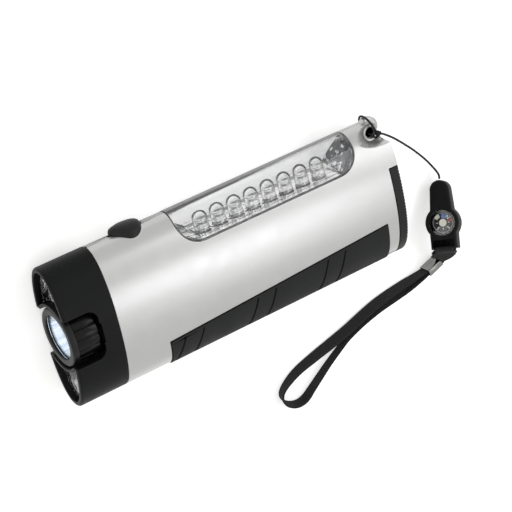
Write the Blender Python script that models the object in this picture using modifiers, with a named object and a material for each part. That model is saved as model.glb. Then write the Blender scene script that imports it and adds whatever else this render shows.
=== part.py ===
"""A flat LED hand lamp with a side light, a twist lamp in its nose and a wrist lanyard with a small compass.

The lamp lies on one wide side. In the lamp's own frame X runs from the front rim to the rear, Y from the
rubber grip up to the side light and Z from one wide side to the other. Every length is in metres.
"""

import math

import bmesh
import bpy
from mathutils import Matrix, Vector

OBJECT_NAME = "led_flashlight"

# Housing
LENGTH = 0.1368
HALF_HEIGHT = 0.0258
HALF_WIDTH = 0.0107
SECTION_POWER = 2.25
SECTION_SIDES = 48
HEAD_LENGTH = 0.0184
WALL = 0.0018
GAP = 0.0003
OVERRUN = 0.002
CORNER_ROUND = 0.005
REAR_BLOCK_LENGTH = 0.0142
REAR_BLOCK_START = LENGTH - REAR_BLOCK_LENGTH
REAR_BLOCK_INSET = 0.0004

# Head with its bore, thumb cut-outs and two lamp pockets
BORE_RADIUS = 0.0112
BORE_TO_REAR = 0.0060
BORE_DEPTH = HEAD_LENGTH - BORE_TO_REAR
BORE_FLOOR = 0.0021
CUTOUT_HALF_HEIGHT = 0.0088
CUTOUT_SHORT = 0.0005
CUTOUT_DEPTH = BORE_DEPTH - CUTOUT_SHORT
CUTOUT_CORNER = 0.0034
RIM_ROUND = 0.0009
POCKET_RADIUS = 0.0124
POCKET_DEPTH = 0.0085
POCKET_LAMP_HEIGHT = (POCKET_RADIUS + HALF_HEIGHT - WALL) / 2
POCKET_REFLECTOR_DEPTH = 0.0040
POCKET_LENS_INSET = 0.0021
POCKET_LENS_THICKNESS = 0.0010
POCKET_DISH_RIM = 0.0010
POCKET_DISH_RADIUS = (HALF_HEIGHT - WALL - POCKET_RADIUS) / 2 - POCKET_DISH_RIM

# Twist lamp, which keeps its own length and stands off the bore's floor
LAMP_LENGTH = 0.0105
LAMP_RUNNING_GAP = 0.0015
BARREL_RADIUS = 0.0097
RIB_HEIGHT = 0.0004
RIB_COUNT = 16
RIB_SHARES = (0.62, 0.72, 0.90)
BARREL_END = BORE_DEPTH - LAMP_RUNNING_GAP
BARREL_INNER_RADIUS = 0.0088
BARREL_FLOOR = 0.0014
BEZEL_RADIUS = 0.0106
BEZEL_FRONT = BARREL_END - LAMP_LENGTH
BEZEL_LENGTH = 0.0022
BEZEL_LIP = 0.0007
APERTURE_RADIUS = 0.0078
LENS_RADIUS = 0.0086
LENS_THICKNESS = 0.0011
REFLECTOR_RIM = 0.0006
REFLECTOR_WALL = 0.0007
REFLECTOR_BACK_RADIUS = 0.0033
REFLECTOR_STEPS = 6
SPIGOT_RADIUS = 0.0026
SEAT_FLANGE_RADIUS = 0.0055
SEAT_FLANGE = 0.0012
LAMP_STAND_OFF = 0.0010

# Light emitting diodes
DIODE_RADIUS = 0.0025
DIODE_FLANGE_RADIUS = 0.0029
DIODE_FLANGE = 0.0009
DIODE_HEIGHT = 0.0092
SHORT_DIODE_HEIGHT = 0.0045
DIODE_STEPS = 14

# Side light window, its tray and the row of diodes in it
WINDOW_BEHIND_HEAD = 0.0300
WINDOW_FROM_REAR = 0.0148
WINDOW_HEIGHT = 0.0116
WINDOW_FRONT = HEAD_LENGTH + WINDOW_BEHIND_HEAD
WINDOW_REAR = LENGTH - WINDOW_FROM_REAR
WINDOW_SILL = HALF_HEIGHT - WINDOW_HEIGHT
WINDOW_CORNER = 0.0086
WINDOW_THICKNESS = 0.0012
TRAY_THICKNESS = 0.0008
TRAY_BELOW_SILL = 0.0002
TRAY_TOP = WINDOW_SILL - TRAY_BELOW_SILL
TRAY_END_HEIGHT = 0.0065
TRAY_END_TOP = TRAY_TOP + TRAY_END_HEIGHT
TRAY_END_RUN = 0.0062
DIODE_SUNK = 0.0021
DIODE_BASE = TRAY_TOP - DIODE_SUNK
DIODE_PITCH = 0.00678
DIODE_FIRST_MARGIN = 0.0046
DIODE_LAST_MARGIN = 0.0040
DIODE_FIRST = WINDOW_FRONT + WINDOW_CORNER + DIODE_FIRST_MARGIN
DIODE_ROW = WINDOW_REAR - WINDOW_CORNER - DIODE_LAST_MARGIN - DIODE_FIRST
DIODE_COUNT = int(DIODE_ROW / DIODE_PITCH) + 1
BOARD_THICKNESS = 0.0012
SIDE_BOARD_MARGIN = 0.0046
SIDE_BOARD_HALF_WIDTH = 0.0076

# Push button and switch
BUTTON_BEHIND_HEAD = 0.0159
BUTTON_CENTRE = HEAD_LENGTH + BUTTON_BEHIND_HEAD
BUTTON_RADIUS = 0.0049
BUTTON_NOSE_RADIUS = 0.0020
BUTTON_NOSE_REACH = 0.0049
BUTTON_PROUD = 0.0026
BUTTON_SKIRT = 0.0042
BUTTON_DOME_SHARES = ((0.35, 1.0), (0.62, 0.93), (0.84, 0.74), (0.96, 0.48), (1.0, 0.2))
BUTTON_POST_RADIUS = 0.0015
BUTTON_POST = 0.0004
BUTTON_TRAVEL = 0.0012
PLUNGER_RADIUS = 0.0017
PLUNGER_SHOWS = 0.0009
PLUNGER_LENGTH = 0.0024
SWITCH_SIDE = 0.0060
SWITCH_HEIGHT = 0.0033
BULKHEAD_GAP = 0.0006
BULKHEAD_THICKNESS = 0.0014
MAIN_BOARD_ROOM = 0.0026
MAIN_BOARD_BEHIND_BUTTON = 0.0117
MAIN_BOARD_FRONT = HEAD_LENGTH + BULKHEAD_GAP + BULKHEAD_THICKNESS + MAIN_BOARD_ROOM
MAIN_BOARD_REAR = BUTTON_CENTRE + MAIN_BOARD_BEHIND_BUTTON
MAIN_BOARD_HALF_WIDTH = 0.0066

# Bright strip along the seam
STRIP_HALF_WIDTH = 0.00045
STRIP_DEPTH = 0.0026
STRIP_INSET = 0.00005

# Rubber grip
GRIP_PROUD = 0.0004
GRIP_THICKNESS = 0.0013
GRIP_BEHIND_HEAD = 0.0170
GRIP_FROM_REAR = 0.0085
GRIP_FRONT = HEAD_LENGTH + GRIP_BEHIND_HEAD
GRIP_REAR = LENGTH - GRIP_FROM_REAR
GRIP_FRONT_HEIGHT = 0.0107
GRIP_REAR_HEIGHT = 0.0159
GRIP_TOP_FRONT = HALF_HEIGHT - GRIP_FRONT_HEIGHT
GRIP_TOP_REAR = HALF_HEIGHT - GRIP_REAR_HEIGHT
GRIP_SIDE_SLANT = 0.0010
GROOVE_WIDTH = 0.0008
GROOVE_DEPTH = 0.0006
GROOVE_BEHIND_FRONT = 0.0052
GROOVE_FIRST = GRIP_FRONT + GROOVE_BEHIND_FRONT
GROOVE_PAIR = 0.0075
GROOVE_GROUP = 0.0299
GROOVE_GROUPS = int((GRIP_REAR - GROOVE_FIRST - GROOVE_PAIR) / GROOVE_GROUP) + 1
GROOVE_LEAN = 0.0050

# Battery door and power
DOOR_LENGTH = 0.0041
DOOR_BELOW_TOP = 0.0164
DOOR_TOP = HALF_HEIGHT - DOOR_BELOW_TOP
DOOR_LAP = 0.0004
REAR_BLOCK_BOTTOM = DOOR_TOP - DOOR_LAP
DOOR_ROUND = 0.0014
DOOR_CORNER = 0.0036
DOOR_HOLLOW = 0.0010
TONGUE_REACH = 0.0050
TONGUE_THICKNESS = 0.0012
TONGUE_HALF_WIDTH = 0.0030
TONGUE_HEIGHT = -0.0020
CELL_RADIUS = 0.00525
CELL_LENGTH = 0.0445
CELL_NUB_RADIUS = 0.0019
CELL_NUB = 0.0010
CELL_PITCH = 0.0108
CELL_CLEARANCE = 0.00035
CELL_LOWEST = CELL_RADIUS + CELL_CLEARANCE + WALL - HALF_HEIGHT
HOLDER_BELOW_BLOCK = 0.0004
HOLDER_TOP = REAR_BLOCK_BOTTOM - HOLDER_BELOW_BLOCK
HOLDER_ABOVE_EDGE = 0.0046
HOLDER_BOTTOM = HOLDER_ABOVE_EDGE - HALF_HEIGHT
CELL_COUNT = int((HOLDER_TOP - CELL_RADIUS - CELL_LOWEST) / CELL_PITCH) + 1
CONTACT_THICKNESS = 0.0004
CONTACT_ABOVE_EDGE = 0.0052
CONTACT_BOTTOM = CONTACT_ABOVE_EDGE - HALF_HEIGHT
CONTACT_REACH = 0.0028
CONTACT_TOP = CELL_LOWEST + CELL_PITCH * (CELL_COUNT - 1) + CONTACT_REACH
CONTACT_HALF_WIDTH = 0.0042
REAR_CONTACT_FRONT = LENGTH - DOOR_LENGTH + DOOR_HOLLOW - GAP - CONTACT_THICKNESS
SPRING_LENGTH = 0.0049
HOLDER_WALL = 0.0014
CELL_SEAT = REAR_CONTACT_FRONT - GAP - CELL_LENGTH - GAP - SPRING_LENGTH
HOLDER_FRONT = CELL_SEAT - GAP - CONTACT_THICKNESS - GAP - HOLDER_WALL
HOLDER_FROM_REAR = 0.0068
HOLDER_REAR = LENGTH - HOLDER_FROM_REAR
HOLDER_DEPTH = 0.0066
HOLDER_FACE = 0.0010
SPRING_WIRE_RADIUS = 0.0003
SPRING_WIDE = 0.0040
SPRING_NARROW = 0.0022
SPRING_TURNS = 3
SPRING_POINTS = 10

# Fasteners
SCREW_RADIUS = 0.0011
SCREW_HOLE_RADIUS = 0.0014
SCREW_HEAD_RADIUS = 0.0021
SCREW_HEAD = 0.0013
SCREW_SLOT = 0.0006
SCREW_SLOT_DEPTH = 0.0005
BOSS_RADIUS = 0.0031
HEAD_BOSS_RADIUS = 0.0026
HEAD_SCREW_BELOW_EDGE = 0.0088
HEAD_SCREW_HEIGHT = HALF_HEIGHT - HEAD_SCREW_BELOW_EDGE
HEAD_SCREW_REACH = 0.0050
SHELL_SCREW_REACH = 0.0050
SHELL_SCREW_SEAT = 0.0070
FRONT_SCREW_BEHIND_HEAD = 0.0086
FRONT_SCREW_ABOVE_EDGE = 0.0118
MIDDLE_SCREW_BEFORE_HOLDER = 0.0106
MIDDLE_SCREW_HEIGHT = 0.0010
REAR_SCREW_FROM_REAR = 0.0092
REAR_SCREW_BELOW_EDGE = 0.0120
SHELL_SCREW_PLACES = (
    (HEAD_LENGTH + FRONT_SCREW_BEHIND_HEAD, FRONT_SCREW_ABOVE_EDGE - HALF_HEIGHT),
    (HOLDER_FRONT - MIDDLE_SCREW_BEFORE_HOLDER, MIDDLE_SCREW_HEIGHT),
    (LENGTH - REAR_SCREW_FROM_REAR, HALF_HEIGHT - REAR_SCREW_BELOW_EDGE),
)

# Lanyard hole
HOLE_FROM_REAR = 0.0034
HOLE_BELOW_EDGE = 0.0046
HOLE_ALONG = LENGTH - HOLE_FROM_REAR
HOLE_HEIGHT = HALF_HEIGHT - HOLE_BELOW_EDGE
HOLE_RADIUS = 0.0021
WEB_HALF_THICKNESS = 0.0013
SCOOP_RADIUS = 0.0029
SCOOP_DEPTH = 0.0110
SCOOP_GROWTH_SHARE = 0.65
SCOOP_LEAN_SHARES = (0.15, 0.30)

# Lanyard
CORD_RADIUS = 0.00045
KNOT_RADIUS = 0.0011
STRAP_WIDTH = 0.0044
STRAP_THICKNESS = 0.0008
TAB_WIDTH = 0.0070
CRIMP_LENGTH = 0.0066
CRIMP_HEIGHT = 0.0057
CRIMP_WIDTH = 0.0030
CRIMP_WALL = 0.0003

# Compass and its holder, which stands beside the lamp, leaning back on its long edge
COMPASS_PLACE = (0.0879, -0.0253, 0.0113)
COMPASS_FACE_SHARES = (-0.651, 0.459, 0.604)
COMPASS_LONG_SHARES = (0.327, 0.888, -0.322)
HOLDER_THICKNESS = 0.0067
NECK_RADIUS = 0.0036
NECK_REACH = 0.0158
COMPASS_BODY_RADIUS = 0.0063
COMPASS_NECK_DEGREES = 48.3
COMPASS_FOOT_DEGREES = 38.3
FOOT_HALF_WIDTH = 0.0049
FOOT_REACH = 0.0097
SLOT_HALF_WIDTH = 0.0040
SLOT_TOP = 0.0064
SLOT_BOTTOM = 0.0084
BAR_THICKNESS = 0.0014
CAPSULE_RADIUS = 0.0047
CAPSULE_DEPTH = 0.0046
CAPSULE_WALL = 0.0005
DOME_THICKNESS = 0.0005
DOME_RISE = 0.0008
DOME_STEPS = 5
CARD_RADIUS = 0.0039
CARD_THICKNESS = 0.0006
PIVOT_RADIUS = 0.0005
PIVOT_HEIGHT = 0.0014
PIVOT_TIP_SHARE = 0.2
CARD_HUB_RADIUS = 0.0010

# Route of the cord out of the compass holder, over the ground and up to the knot
CORD_ROUTE = (
    (0.0954, -0.0124, 0.0039), (0.0958, -0.0111, 0.0034), (0.0954, -0.0093, 0.0027), (0.0933, -0.0054, 0.0022),
    (0.0910, -0.0023, 0.0028), (0.0883, 0.0007, 0.0042), (0.0853, 0.0040, 0.0054), (0.0822, 0.0071, 0.0067),
    (0.0789, 0.0103, 0.0081), (0.0754, 0.0135, 0.0097), (0.0723, 0.0160, 0.0113), (0.0698, 0.0179, 0.0128),
    (0.0684, 0.0188, 0.0136),
)
# Route of the hitch from the knot over the edge of the lanyard hole, through the hole and back to the knot
HITCH_ROUTE = (
    (0.0659, 0.0213, 0.0139), (0.0652, 0.0227, 0.0142), (0.0644, 0.0243, 0.0145), (0.0638, 0.0260, 0.0134),
    (0.0636, 0.0267, 0.0113), (0.0639, 0.0260, 0.0088), (0.0643, 0.0241, 0.0073), (0.0647, 0.0219, 0.0075),
    (0.0650, 0.0203, 0.0087), (0.0650, 0.0195, 0.0107), (0.0653, 0.0190, 0.0123), (0.0659, 0.0182, 0.0134),
    (0.0667, 0.0177, 0.0136),
)
CORD_STEPS = 3
KNOT_PLACE = (0.0669, 0.0196, 0.0136)

# Route of the wrist strap, which stands on its edge from the crimp round the loop and back
STRAP_ROUTE = (
    (0.0848, -0.0442, 0.0030), (0.0822, -0.0450, 0.0030), (0.0772, -0.0458, 0.0027), (0.0725, -0.0464, 0.0025),
    (0.0652, -0.0475, 0.0024), (0.0584, -0.0488, 0.0024), (0.0519, -0.0507, 0.0024), (0.0444, -0.0531, 0.0024),
    (0.0361, -0.0552, 0.0024), (0.0275, -0.0572, 0.0024), (0.0208, -0.0590, 0.0024), (0.0160, -0.0612, 0.0024),
    (0.0125, -0.0638, 0.0024), (0.0115, -0.0665, 0.0024), (0.0128, -0.0693, 0.0024), (0.0157, -0.0712, 0.0024),
    (0.0188, -0.0716, 0.0024), (0.0215, -0.0707, 0.0024), (0.0242, -0.0688, 0.0024), (0.0286, -0.0657, 0.0024),
    (0.0332, -0.0625, 0.0024), (0.0384, -0.0593, 0.0024), (0.0430, -0.0567, 0.0024), (0.0478, -0.0548, 0.0024),
    (0.0538, -0.0530, 0.0024), (0.0597, -0.0517, 0.0024), (0.0659, -0.0508, 0.0024), (0.0732, -0.0495, 0.0025),
    (0.0783, -0.0479, 0.0027), (0.0826, -0.0461, 0.0030), (0.0850, -0.0453, 0.0030),
)
STRAP_LEANS = (
    0, 0, 5, 12, 20, 25, 30, 32, 30, 20, 10, 0, -10, -14, -14, -14, -10, -6, 0, 4, 8, 10, 12, 12, 12, 12, 12, 10,
    6, 0, 0,
)
STRAP_STEPS = 2
CRIMP_PLACE = (0.0854, -0.0446, 0.0030)
CRIMP_AXIS_SHARES = (0.947, 0.320, 0.0)

# The folded strap's route from the holder's bar down to the crimp, half the distance between its two layers on
# the way, its widths as shares of the whole and how far its width has turned upright
TAB_START_SHARES = (-0.42, -0.907)
TAB_STRAIGHT = 0.0042
TAB_ROUTE = ((0.0885, -0.0391, 0.0079), (0.0895, -0.0408, 0.0058), (0.0901, -0.0424, 0.0038))
TAB_HALF_GAPS = (0.00145, 0.0012, 0.0009, 0.0007, 0.0006, 0.00055, 0.00055, 0.00055)
TAB_WIDTH_SHARES = (1.0, 0.96, 0.88, 0.78, 0.68, 0.62, 0.62, 0.62)
TAB_UPRIGHT_SHARES = (0, 0, 0.25, 0.55, 0.85, 1, 1, 1)
TAB_INSIDE_SHARES = (0.65, 0.42, 0.16)
TAB_WRAP_STEPS = 6


def make_collection(name):
    """A new collection under the scene's own."""
    collection = bpy.data.collections.new(name)
    bpy.context.scene.collection.children.link(collection)
    return collection


for old_object in list(bpy.data.objects):
    bpy.data.objects.remove(old_object, do_unlink=True)
PARTS = make_collection(OBJECT_NAME)
CUTTERS = make_collection("cutters")


def make_frame(name, place, turn):
    """An empty that carries pieces, at a place and with a rotation matrix."""
    frame = bpy.data.objects.new(name, None)
    frame.matrix_world = Matrix.Translation(Vector(place)) @ turn.to_4x4()
    PARTS.objects.link(frame)
    return frame


def compass_turn():
    """The rotation whose Z is the compass's face and whose Y runs up to the cord."""
    face = Vector(COMPASS_FACE_SHARES).normalized()
    along = Vector(COMPASS_LONG_SHARES)
    along = (along - face * along.dot(face)).normalized()
    return Matrix((along.cross(face), along, face)).transposed()


def crimp_turn():
    """The rotation whose X runs through the crimp and whose Z is the strap's width."""
    along = Vector(CRIMP_AXIS_SHARES).normalized()
    up = Vector((0, 0, 1))
    return Matrix((along, up.cross(along), up)).transposed()


LAMP = make_frame("lamp_frame", (-LENGTH / 2, (GRIP_PROUD - BUTTON_PROUD) / 2, HALF_WIDTH), Matrix.Identity(3))
COMPASS = make_frame("compass_frame", COMPASS_PLACE, compass_turn())
CRIMP = make_frame("crimp_frame", CRIMP_PLACE, crimp_turn())


def material(name, colour, roughness, metallic=0.0, transmission=0.0):
    """A plain Principled material of one colour."""
    made = bpy.data.materials.new(name)
    made.use_nodes = True
    shader = made.node_tree.nodes["Principled BSDF"]
    shader.inputs["Base Color"].default_value = (*colour, 1.0)
    shader.inputs["Roughness"].default_value = roughness
    shader.inputs["Metallic"].default_value = metallic
    shader.inputs["Transmission Weight"].default_value = transmission
    return made


def black_plastic(name):
    """Matt black moulded plastic."""
    return material(name, (0.012, 0.013, 0.014), 0.45)


def silver_paint(name):
    """Satin silver paint."""
    return material(name, (0.62, 0.62, 0.63), 0.35, 0.35)


def chrome(name):
    """Bright vacuum plated plastic."""
    return material(name, (0.82, 0.83, 0.84), 0.08, 1.0)


def clear_plastic(name):
    """Water clear moulded plastic."""
    return material(name, (0.95, 0.96, 0.97), 0.03, 0.0, 1.0)


def steel(name):
    """Plated steel."""
    return material(name, (0.55, 0.55, 0.56), 0.28, 1.0)


def circuit_board(name):
    """White coated circuit board."""
    return material(name, (0.30, 0.42, 0.33), 0.5)


def mesh_object(name, mesh, carrier, finish=None):
    """An object of this mesh, as a part if it has a finish and as a cutter if it has none."""
    made = bpy.data.objects.new(name, mesh)
    made.parent = carrier
    if finish:
        PARTS.objects.link(made)
        mesh.materials.append(finish)
    else:
        CUTTERS.objects.link(made)
        made.hide_render = True
        made.display_type = "WIRE"
    return made


def cut(target, cutter, operation="DIFFERENCE"):
    """A Boolean of the cutter on the target."""
    modifier = target.modifiers.new(cutter.name, "BOOLEAN")
    modifier.operation = operation
    modifier.object = cutter


def smooth(piece):
    """Smooth shading on a round piece, with its corners kept."""
    piece.data.shade_smooth()
    piece.data.set_sharp_from_angle(angle=math.radians(35))
    return piece


def spread_axes(axis):
    """The matrix that turns a plate drawn flat, with its thickness along Z, so that it lies along this axis."""
    if axis == "X":
        return Matrix(((0, 0, 1), (1, 0, 0), (0, 1, 0))).to_4x4()
    if axis == "Y":
        return Matrix(((0, 1, 0), (0, 0, 1), (1, 0, 0))).to_4x4()
    return Matrix.Identity(4)


def plate(name, outline, low, high, axis, carrier, finish=None):
    """A flat outline with thickness from low to high along X as (y, z), along Y as (z, x) or along Z as (x, y)."""
    curve = bpy.data.curves.new(name, "CURVE")
    curve.dimensions = "2D"
    curve.fill_mode = "BOTH"
    curve.extrude = (high - low) / 2
    spline = curve.splines.new("POLY")
    spline.points.add(len(outline) - 1)
    for point, (across, up) in zip(spline.points, outline):
        point.co = (across, up, 0, 1)
    spline.use_cyclic_u = True
    holder = bpy.data.objects.new(name, curve)
    bpy.context.scene.collection.objects.link(holder)
    bpy.context.view_layer.update()
    mesh = bpy.data.meshes.new_from_object(holder.evaluated_get(bpy.context.evaluated_depsgraph_get()))
    bpy.data.objects.remove(holder, do_unlink=True)
    mesh.name = name
    mesh.transform(spread_axes(axis) @ Matrix.Translation((0, 0, (low + high) / 2)))
    shape = bmesh.new()
    shape.from_mesh(mesh)
    bmesh.ops.remove_doubles(shape, verts=shape.verts, dist=GAP / 100)
    bmesh.ops.recalc_face_normals(shape, faces=shape.faces)
    shape.to_mesh(mesh)
    shape.free()
    mesh.materials.clear()
    return mesh_object(name, mesh, carrier, finish)


def box(name, low, high, carrier, finish=None):
    """A box between two corners."""
    shape = bmesh.new()
    bmesh.ops.create_cube(shape, size=1)
    size = Vector(high) - Vector(low)
    middle = (Vector(high) + Vector(low)) / 2
    placed = Matrix.Translation(middle) @ Matrix.Diagonal((*size, 1))
    bmesh.ops.transform(shape, matrix=placed, verts=shape.verts)
    mesh = bpy.data.meshes.new(name)
    shape.to_mesh(mesh)
    shape.free()
    return mesh_object(name, mesh, carrier, finish)


def cylinder(name, radius, low, high, axis, centre, carrier, finish=None, sides=24, far_radius=None):
    """A cylinder, or a cone if far_radius is given, along an axis, at a centre in the other two."""
    shape = bmesh.new()
    bmesh.ops.create_cone(
        shape, cap_ends=True, segments=sides, radius1=radius,
        radius2=radius if far_radius is None else far_radius, depth=high - low,
    )
    place = Matrix.Translation((*centre, (low + high) / 2))
    bmesh.ops.transform(shape, matrix=spread_axes(axis) @ place, verts=shape.verts)
    mesh = bpy.data.meshes.new(name)
    shape.to_mesh(mesh)
    shape.free()
    return mesh_object(name, mesh, carrier, finish)


def turned(name, profile, axis, centre, carrier, finish, steps=24):
    """A profile of (radius, height) from the top down its outer side, turned about an axis at a centre."""
    mesh = bpy.data.meshes.new(name)
    points = [(radius, 0, height) for radius, height in profile]
    mesh.from_pydata(points, [(i, i + 1) for i in range(len(points) - 1)], [])
    made = mesh_object(name, mesh, carrier, finish)
    made.matrix_local = spread_axes(axis) @ Matrix.Translation((*centre, 0))
    screw = made.modifiers.new("turn", "SCREW")
    screw.axis = "Z"
    screw.steps = steps
    screw.render_steps = steps
    screw.use_merge_vertices = True
    screw.merge_threshold = GAP / 100
    screw.use_smooth_shade = True
    return made


def section(offset=0):
    """The housing's outline as (y, z), grown by an offset."""
    half_turn = math.pi / SECTION_SIDES
    power = 2 / SECTION_POWER
    widest = math.cos(half_turn) ** power
    points = []
    for i in range(SECTION_SIDES):
        angle = half_turn * (2 * i + 1)
        up, across = math.sin(angle), math.cos(angle)
        y = (HALF_HEIGHT + offset) * math.copysign(abs(up) ** power, up) / widest
        z = (HALF_WIDTH + offset) * math.copysign(abs(across) ** power, across) / widest
        points.append((y, z))
    return points


def half_width_at(height, offset=0):
    """The housing's half width at a height."""
    share = min(abs(height) / (HALF_HEIGHT + offset), 1)
    return (HALF_WIDTH + offset) * (1 - share ** SECTION_POWER) ** (1 / SECTION_POWER)


def crown(across):
    """The height of the housing's narrow edge at a distance to one side of its middle."""
    return HALF_HEIGHT * (1 - min(abs(across) / HALF_WIDTH, 1) ** SECTION_POWER) ** (1 / SECTION_POWER)


def body_loft(name, stations, carrier, finish=None):
    """A solid along X through housing sections, each station an (x, offset)."""
    shape = bmesh.new()
    rings = []
    for x, offset in stations:
        rings.append([shape.verts.new((x, y, z)) for y, z in section(offset)])
    for ring, following in zip(rings, rings[1:]):
        for i in range(len(ring)):
            j = (i + 1) % len(ring)
            shape.faces.new((ring[i], ring[j], following[j], following[i]))
    shape.faces.new(rings[0])
    shape.faces.new(rings[-1])
    bmesh.ops.recalc_face_normals(shape, faces=shape.faces)
    mesh = bpy.data.meshes.new(name)
    shape.to_mesh(mesh)
    shape.free()
    return mesh_object(name, mesh, carrier, finish)


def trim_above(piece, height):
    """Cuts off what a piece has above a height."""
    deep = HALF_WIDTH + OVERRUN
    far_corner = (LENGTH + 2 * OVERRUN, 2 * HALF_HEIGHT, deep)
    cut(piece, box(f"{piece.name}_trim", (-OVERRUN, height, -deep), far_corner, LAMP))


def arc(centre, radius, start, end, steps):
    """Points on an arc, with the angles in degrees."""
    angles = [math.radians(start + (end - start) * i / steps) for i in range(steps + 1)]
    return [(centre[0] + radius * math.cos(a), centre[1] + radius * math.sin(a)) for a in angles]


def crescent(offset, inner_radius, side):
    """The outline between the housing's inner wall and a circle round the lamp's axis, above or below it."""
    outer = [p for p in section(offset) if side * p[0] > 0 and math.hypot(*p) > inner_radius]
    outer.sort(key=lambda p: math.atan2(p[1], side * p[0]))
    first, last = (math.degrees(math.atan2(p[1], side * p[0])) for p in (outer[0], outer[-1]))
    back = arc((0, 0), inner_radius, last, first, 12)
    return outer + [(side * y, z) for y, z in back]


def window_outline(inset):
    """The side window as seen on the wide side, drawn in by an inset."""
    front, rear = WINDOW_FRONT + inset, WINDOW_REAR - inset
    sill = WINDOW_SILL + inset
    corner = WINDOW_CORNER - inset
    top = HALF_HEIGHT + OVERRUN
    low_front = arc((front + corner, sill + corner), corner, 180, 270, 8)
    low_rear = arc((rear - corner, sill + corner), corner, 270, 360, 8)
    return [(front, top)] + low_front + low_rear + [(rear, top)]


def pear_outline(growth, shrink=1.0):
    """The push button's outline as (z, x): a round rear and a narrow nose joined by tangents."""
    rear = BUTTON_RADIUS * shrink + growth
    nose = BUTTON_NOSE_RADIUS * shrink + growth
    reach = BUTTON_NOSE_REACH * shrink
    lean = math.degrees(math.asin((rear - nose) / reach))
    points = arc((BUTTON_CENTRE, 0), rear, -90 - lean, 90 + lean, 16)
    points += arc((BUTTON_CENTRE - reach, 0), nose, 90 + lean, 270 - lean, 8)
    return [(z, x) for x, z in points]


def grip_outline(growth):
    """The grip's edge on the wide side, as (x, y), grown by a gap."""
    low = -HALF_HEIGHT - OVERRUN
    return [
        (GRIP_FRONT + GRIP_SIDE_SLANT - growth, low), (GRIP_REAR + GRIP_SIDE_SLANT + growth, low),
        (GRIP_REAR + growth, -GRIP_TOP_REAR + growth), (GRIP_FRONT - growth, -GRIP_TOP_FRONT + growth),
    ]


def diode_profile(height, radius=DIODE_RADIUS):
    """A diode's profile from the top of its dome down to the foot of its flange, with its foot at 0."""
    dome = arc((0, height - radius), radius, 90, 0, 5)
    flange = [(radius, DIODE_FLANGE), (DIODE_FLANGE_RADIUS, DIODE_FLANGE), (DIODE_FLANGE_RADIUS, 0), (0, 0)]
    return [(max(r, 0), h) for r, h in dome] + flange


def corner_cutter(name, x_centre, y_centre, radius, y_side):
    """What rounds a rear corner: the square outside an arc about a centre."""
    reach = radius + OVERRUN
    rounding = arc((x_centre, y_centre), radius, 90 * y_side, 0, 8)
    outline = rounding + [(x_centre + reach, y_centre), (x_centre + reach, y_centre + y_side * reach)]
    outline += [(x_centre, y_centre + y_side * reach)]
    deep = HALF_WIDTH + OVERRUN
    return plate(name, outline, -deep, deep, "Z", LAMP)


def scoop_cutter(name, side):
    """The leaning cone that thins the corner round the lanyard hole on one wide side."""
    shape = bmesh.new()
    bmesh.ops.create_cone(
        shape, cap_ends=True, segments=28, radius1=SCOOP_RADIUS,
        radius2=SCOOP_RADIUS + SCOOP_DEPTH * SCOOP_GROWTH_SHARE, depth=SCOOP_DEPTH,
    )
    lean = Matrix.Identity(4)
    lean[0][2], lean[1][2] = SCOOP_LEAN_SHARES
    place = Matrix.Translation((HOLE_ALONG, HOLE_HEIGHT, WEB_HALF_THICKNESS))
    raised = Matrix.Translation((0, 0, SCOOP_DEPTH / 2))
    flip = Matrix.Diagonal((1, 1, side, 1))
    bmesh.ops.transform(shape, matrix=flip @ place @ lean @ raised, verts=shape.verts)
    bmesh.ops.recalc_face_normals(shape, faces=shape.faces)
    mesh = bpy.data.meshes.new(name)
    shape.to_mesh(mesh)
    shape.free()
    return mesh_object(name, mesh, LAMP)


def shell_cutters():
    """The cutters that both housing shells share."""
    rear = LENGTH + OVERRUN
    deep = HALF_WIDTH + OVERRUN
    cavity = body_loft("cavity", [(HEAD_LENGTH - OVERRUN, -WALL), (REAR_BLOCK_START, -WALL)], LAMP)
    for i, (x, y) in enumerate(SHELL_SCREW_PLACES[:2]):
        cut(cavity, cylinder(f"boss_{i + 1}", BOSS_RADIUS, -deep, deep, "Z", (x, y), LAMP))
    start = REAR_BLOCK_START - WALL
    battery_mouth = body_loft("battery_mouth", [(start, -WALL), (rear, -WALL)], LAMP)
    trim_above(battery_mouth, REAR_BLOCK_BOTTOM)
    door_front = LENGTH - DOOR_LENGTH - GAP
    door_room = box("door_room", (door_front, -HALF_HEIGHT - OVERRUN, -deep), (rear, DOOR_TOP + GAP, deep), LAMP)
    window = plate("window_opening", window_outline(0), -deep, deep, "Z", LAMP)
    button = plate("button_opening", pear_outline(GAP), 0, HALF_HEIGHT + OVERRUN, "Y", LAMP)
    strip_low = HALF_HEIGHT - STRIP_DEPTH - GAP
    strip_side = STRIP_HALF_WIDTH + GAP
    strips = box(
        "strip_channel", (HEAD_LENGTH - OVERRUN, strip_low, -strip_side),
        (WINDOW_FRONT + GAP, HALF_HEIGHT + OVERRUN, strip_side), LAMP,
    )
    grip = plate("grip_recess", grip_outline(GAP), -deep, deep, "Z", LAMP)
    seat = GRIP_PROUD - GRIP_THICKNESS - GAP
    cut(grip, body_loft("grip_bed", [(0, seat), (LENGTH, seat)], LAMP))
    corner = corner_cutter("top_corner", LENGTH - CORNER_ROUND, HALF_HEIGHT - CORNER_ROUND, CORNER_ROUND, 1)
    hole = cylinder("lanyard_hole", HOLE_RADIUS, -deep, deep, "Z", (HOLE_ALONG, HOLE_HEIGHT), LAMP)
    return [cavity, battery_mouth, door_room, window, button, strips, grip, corner, hole]


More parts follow.
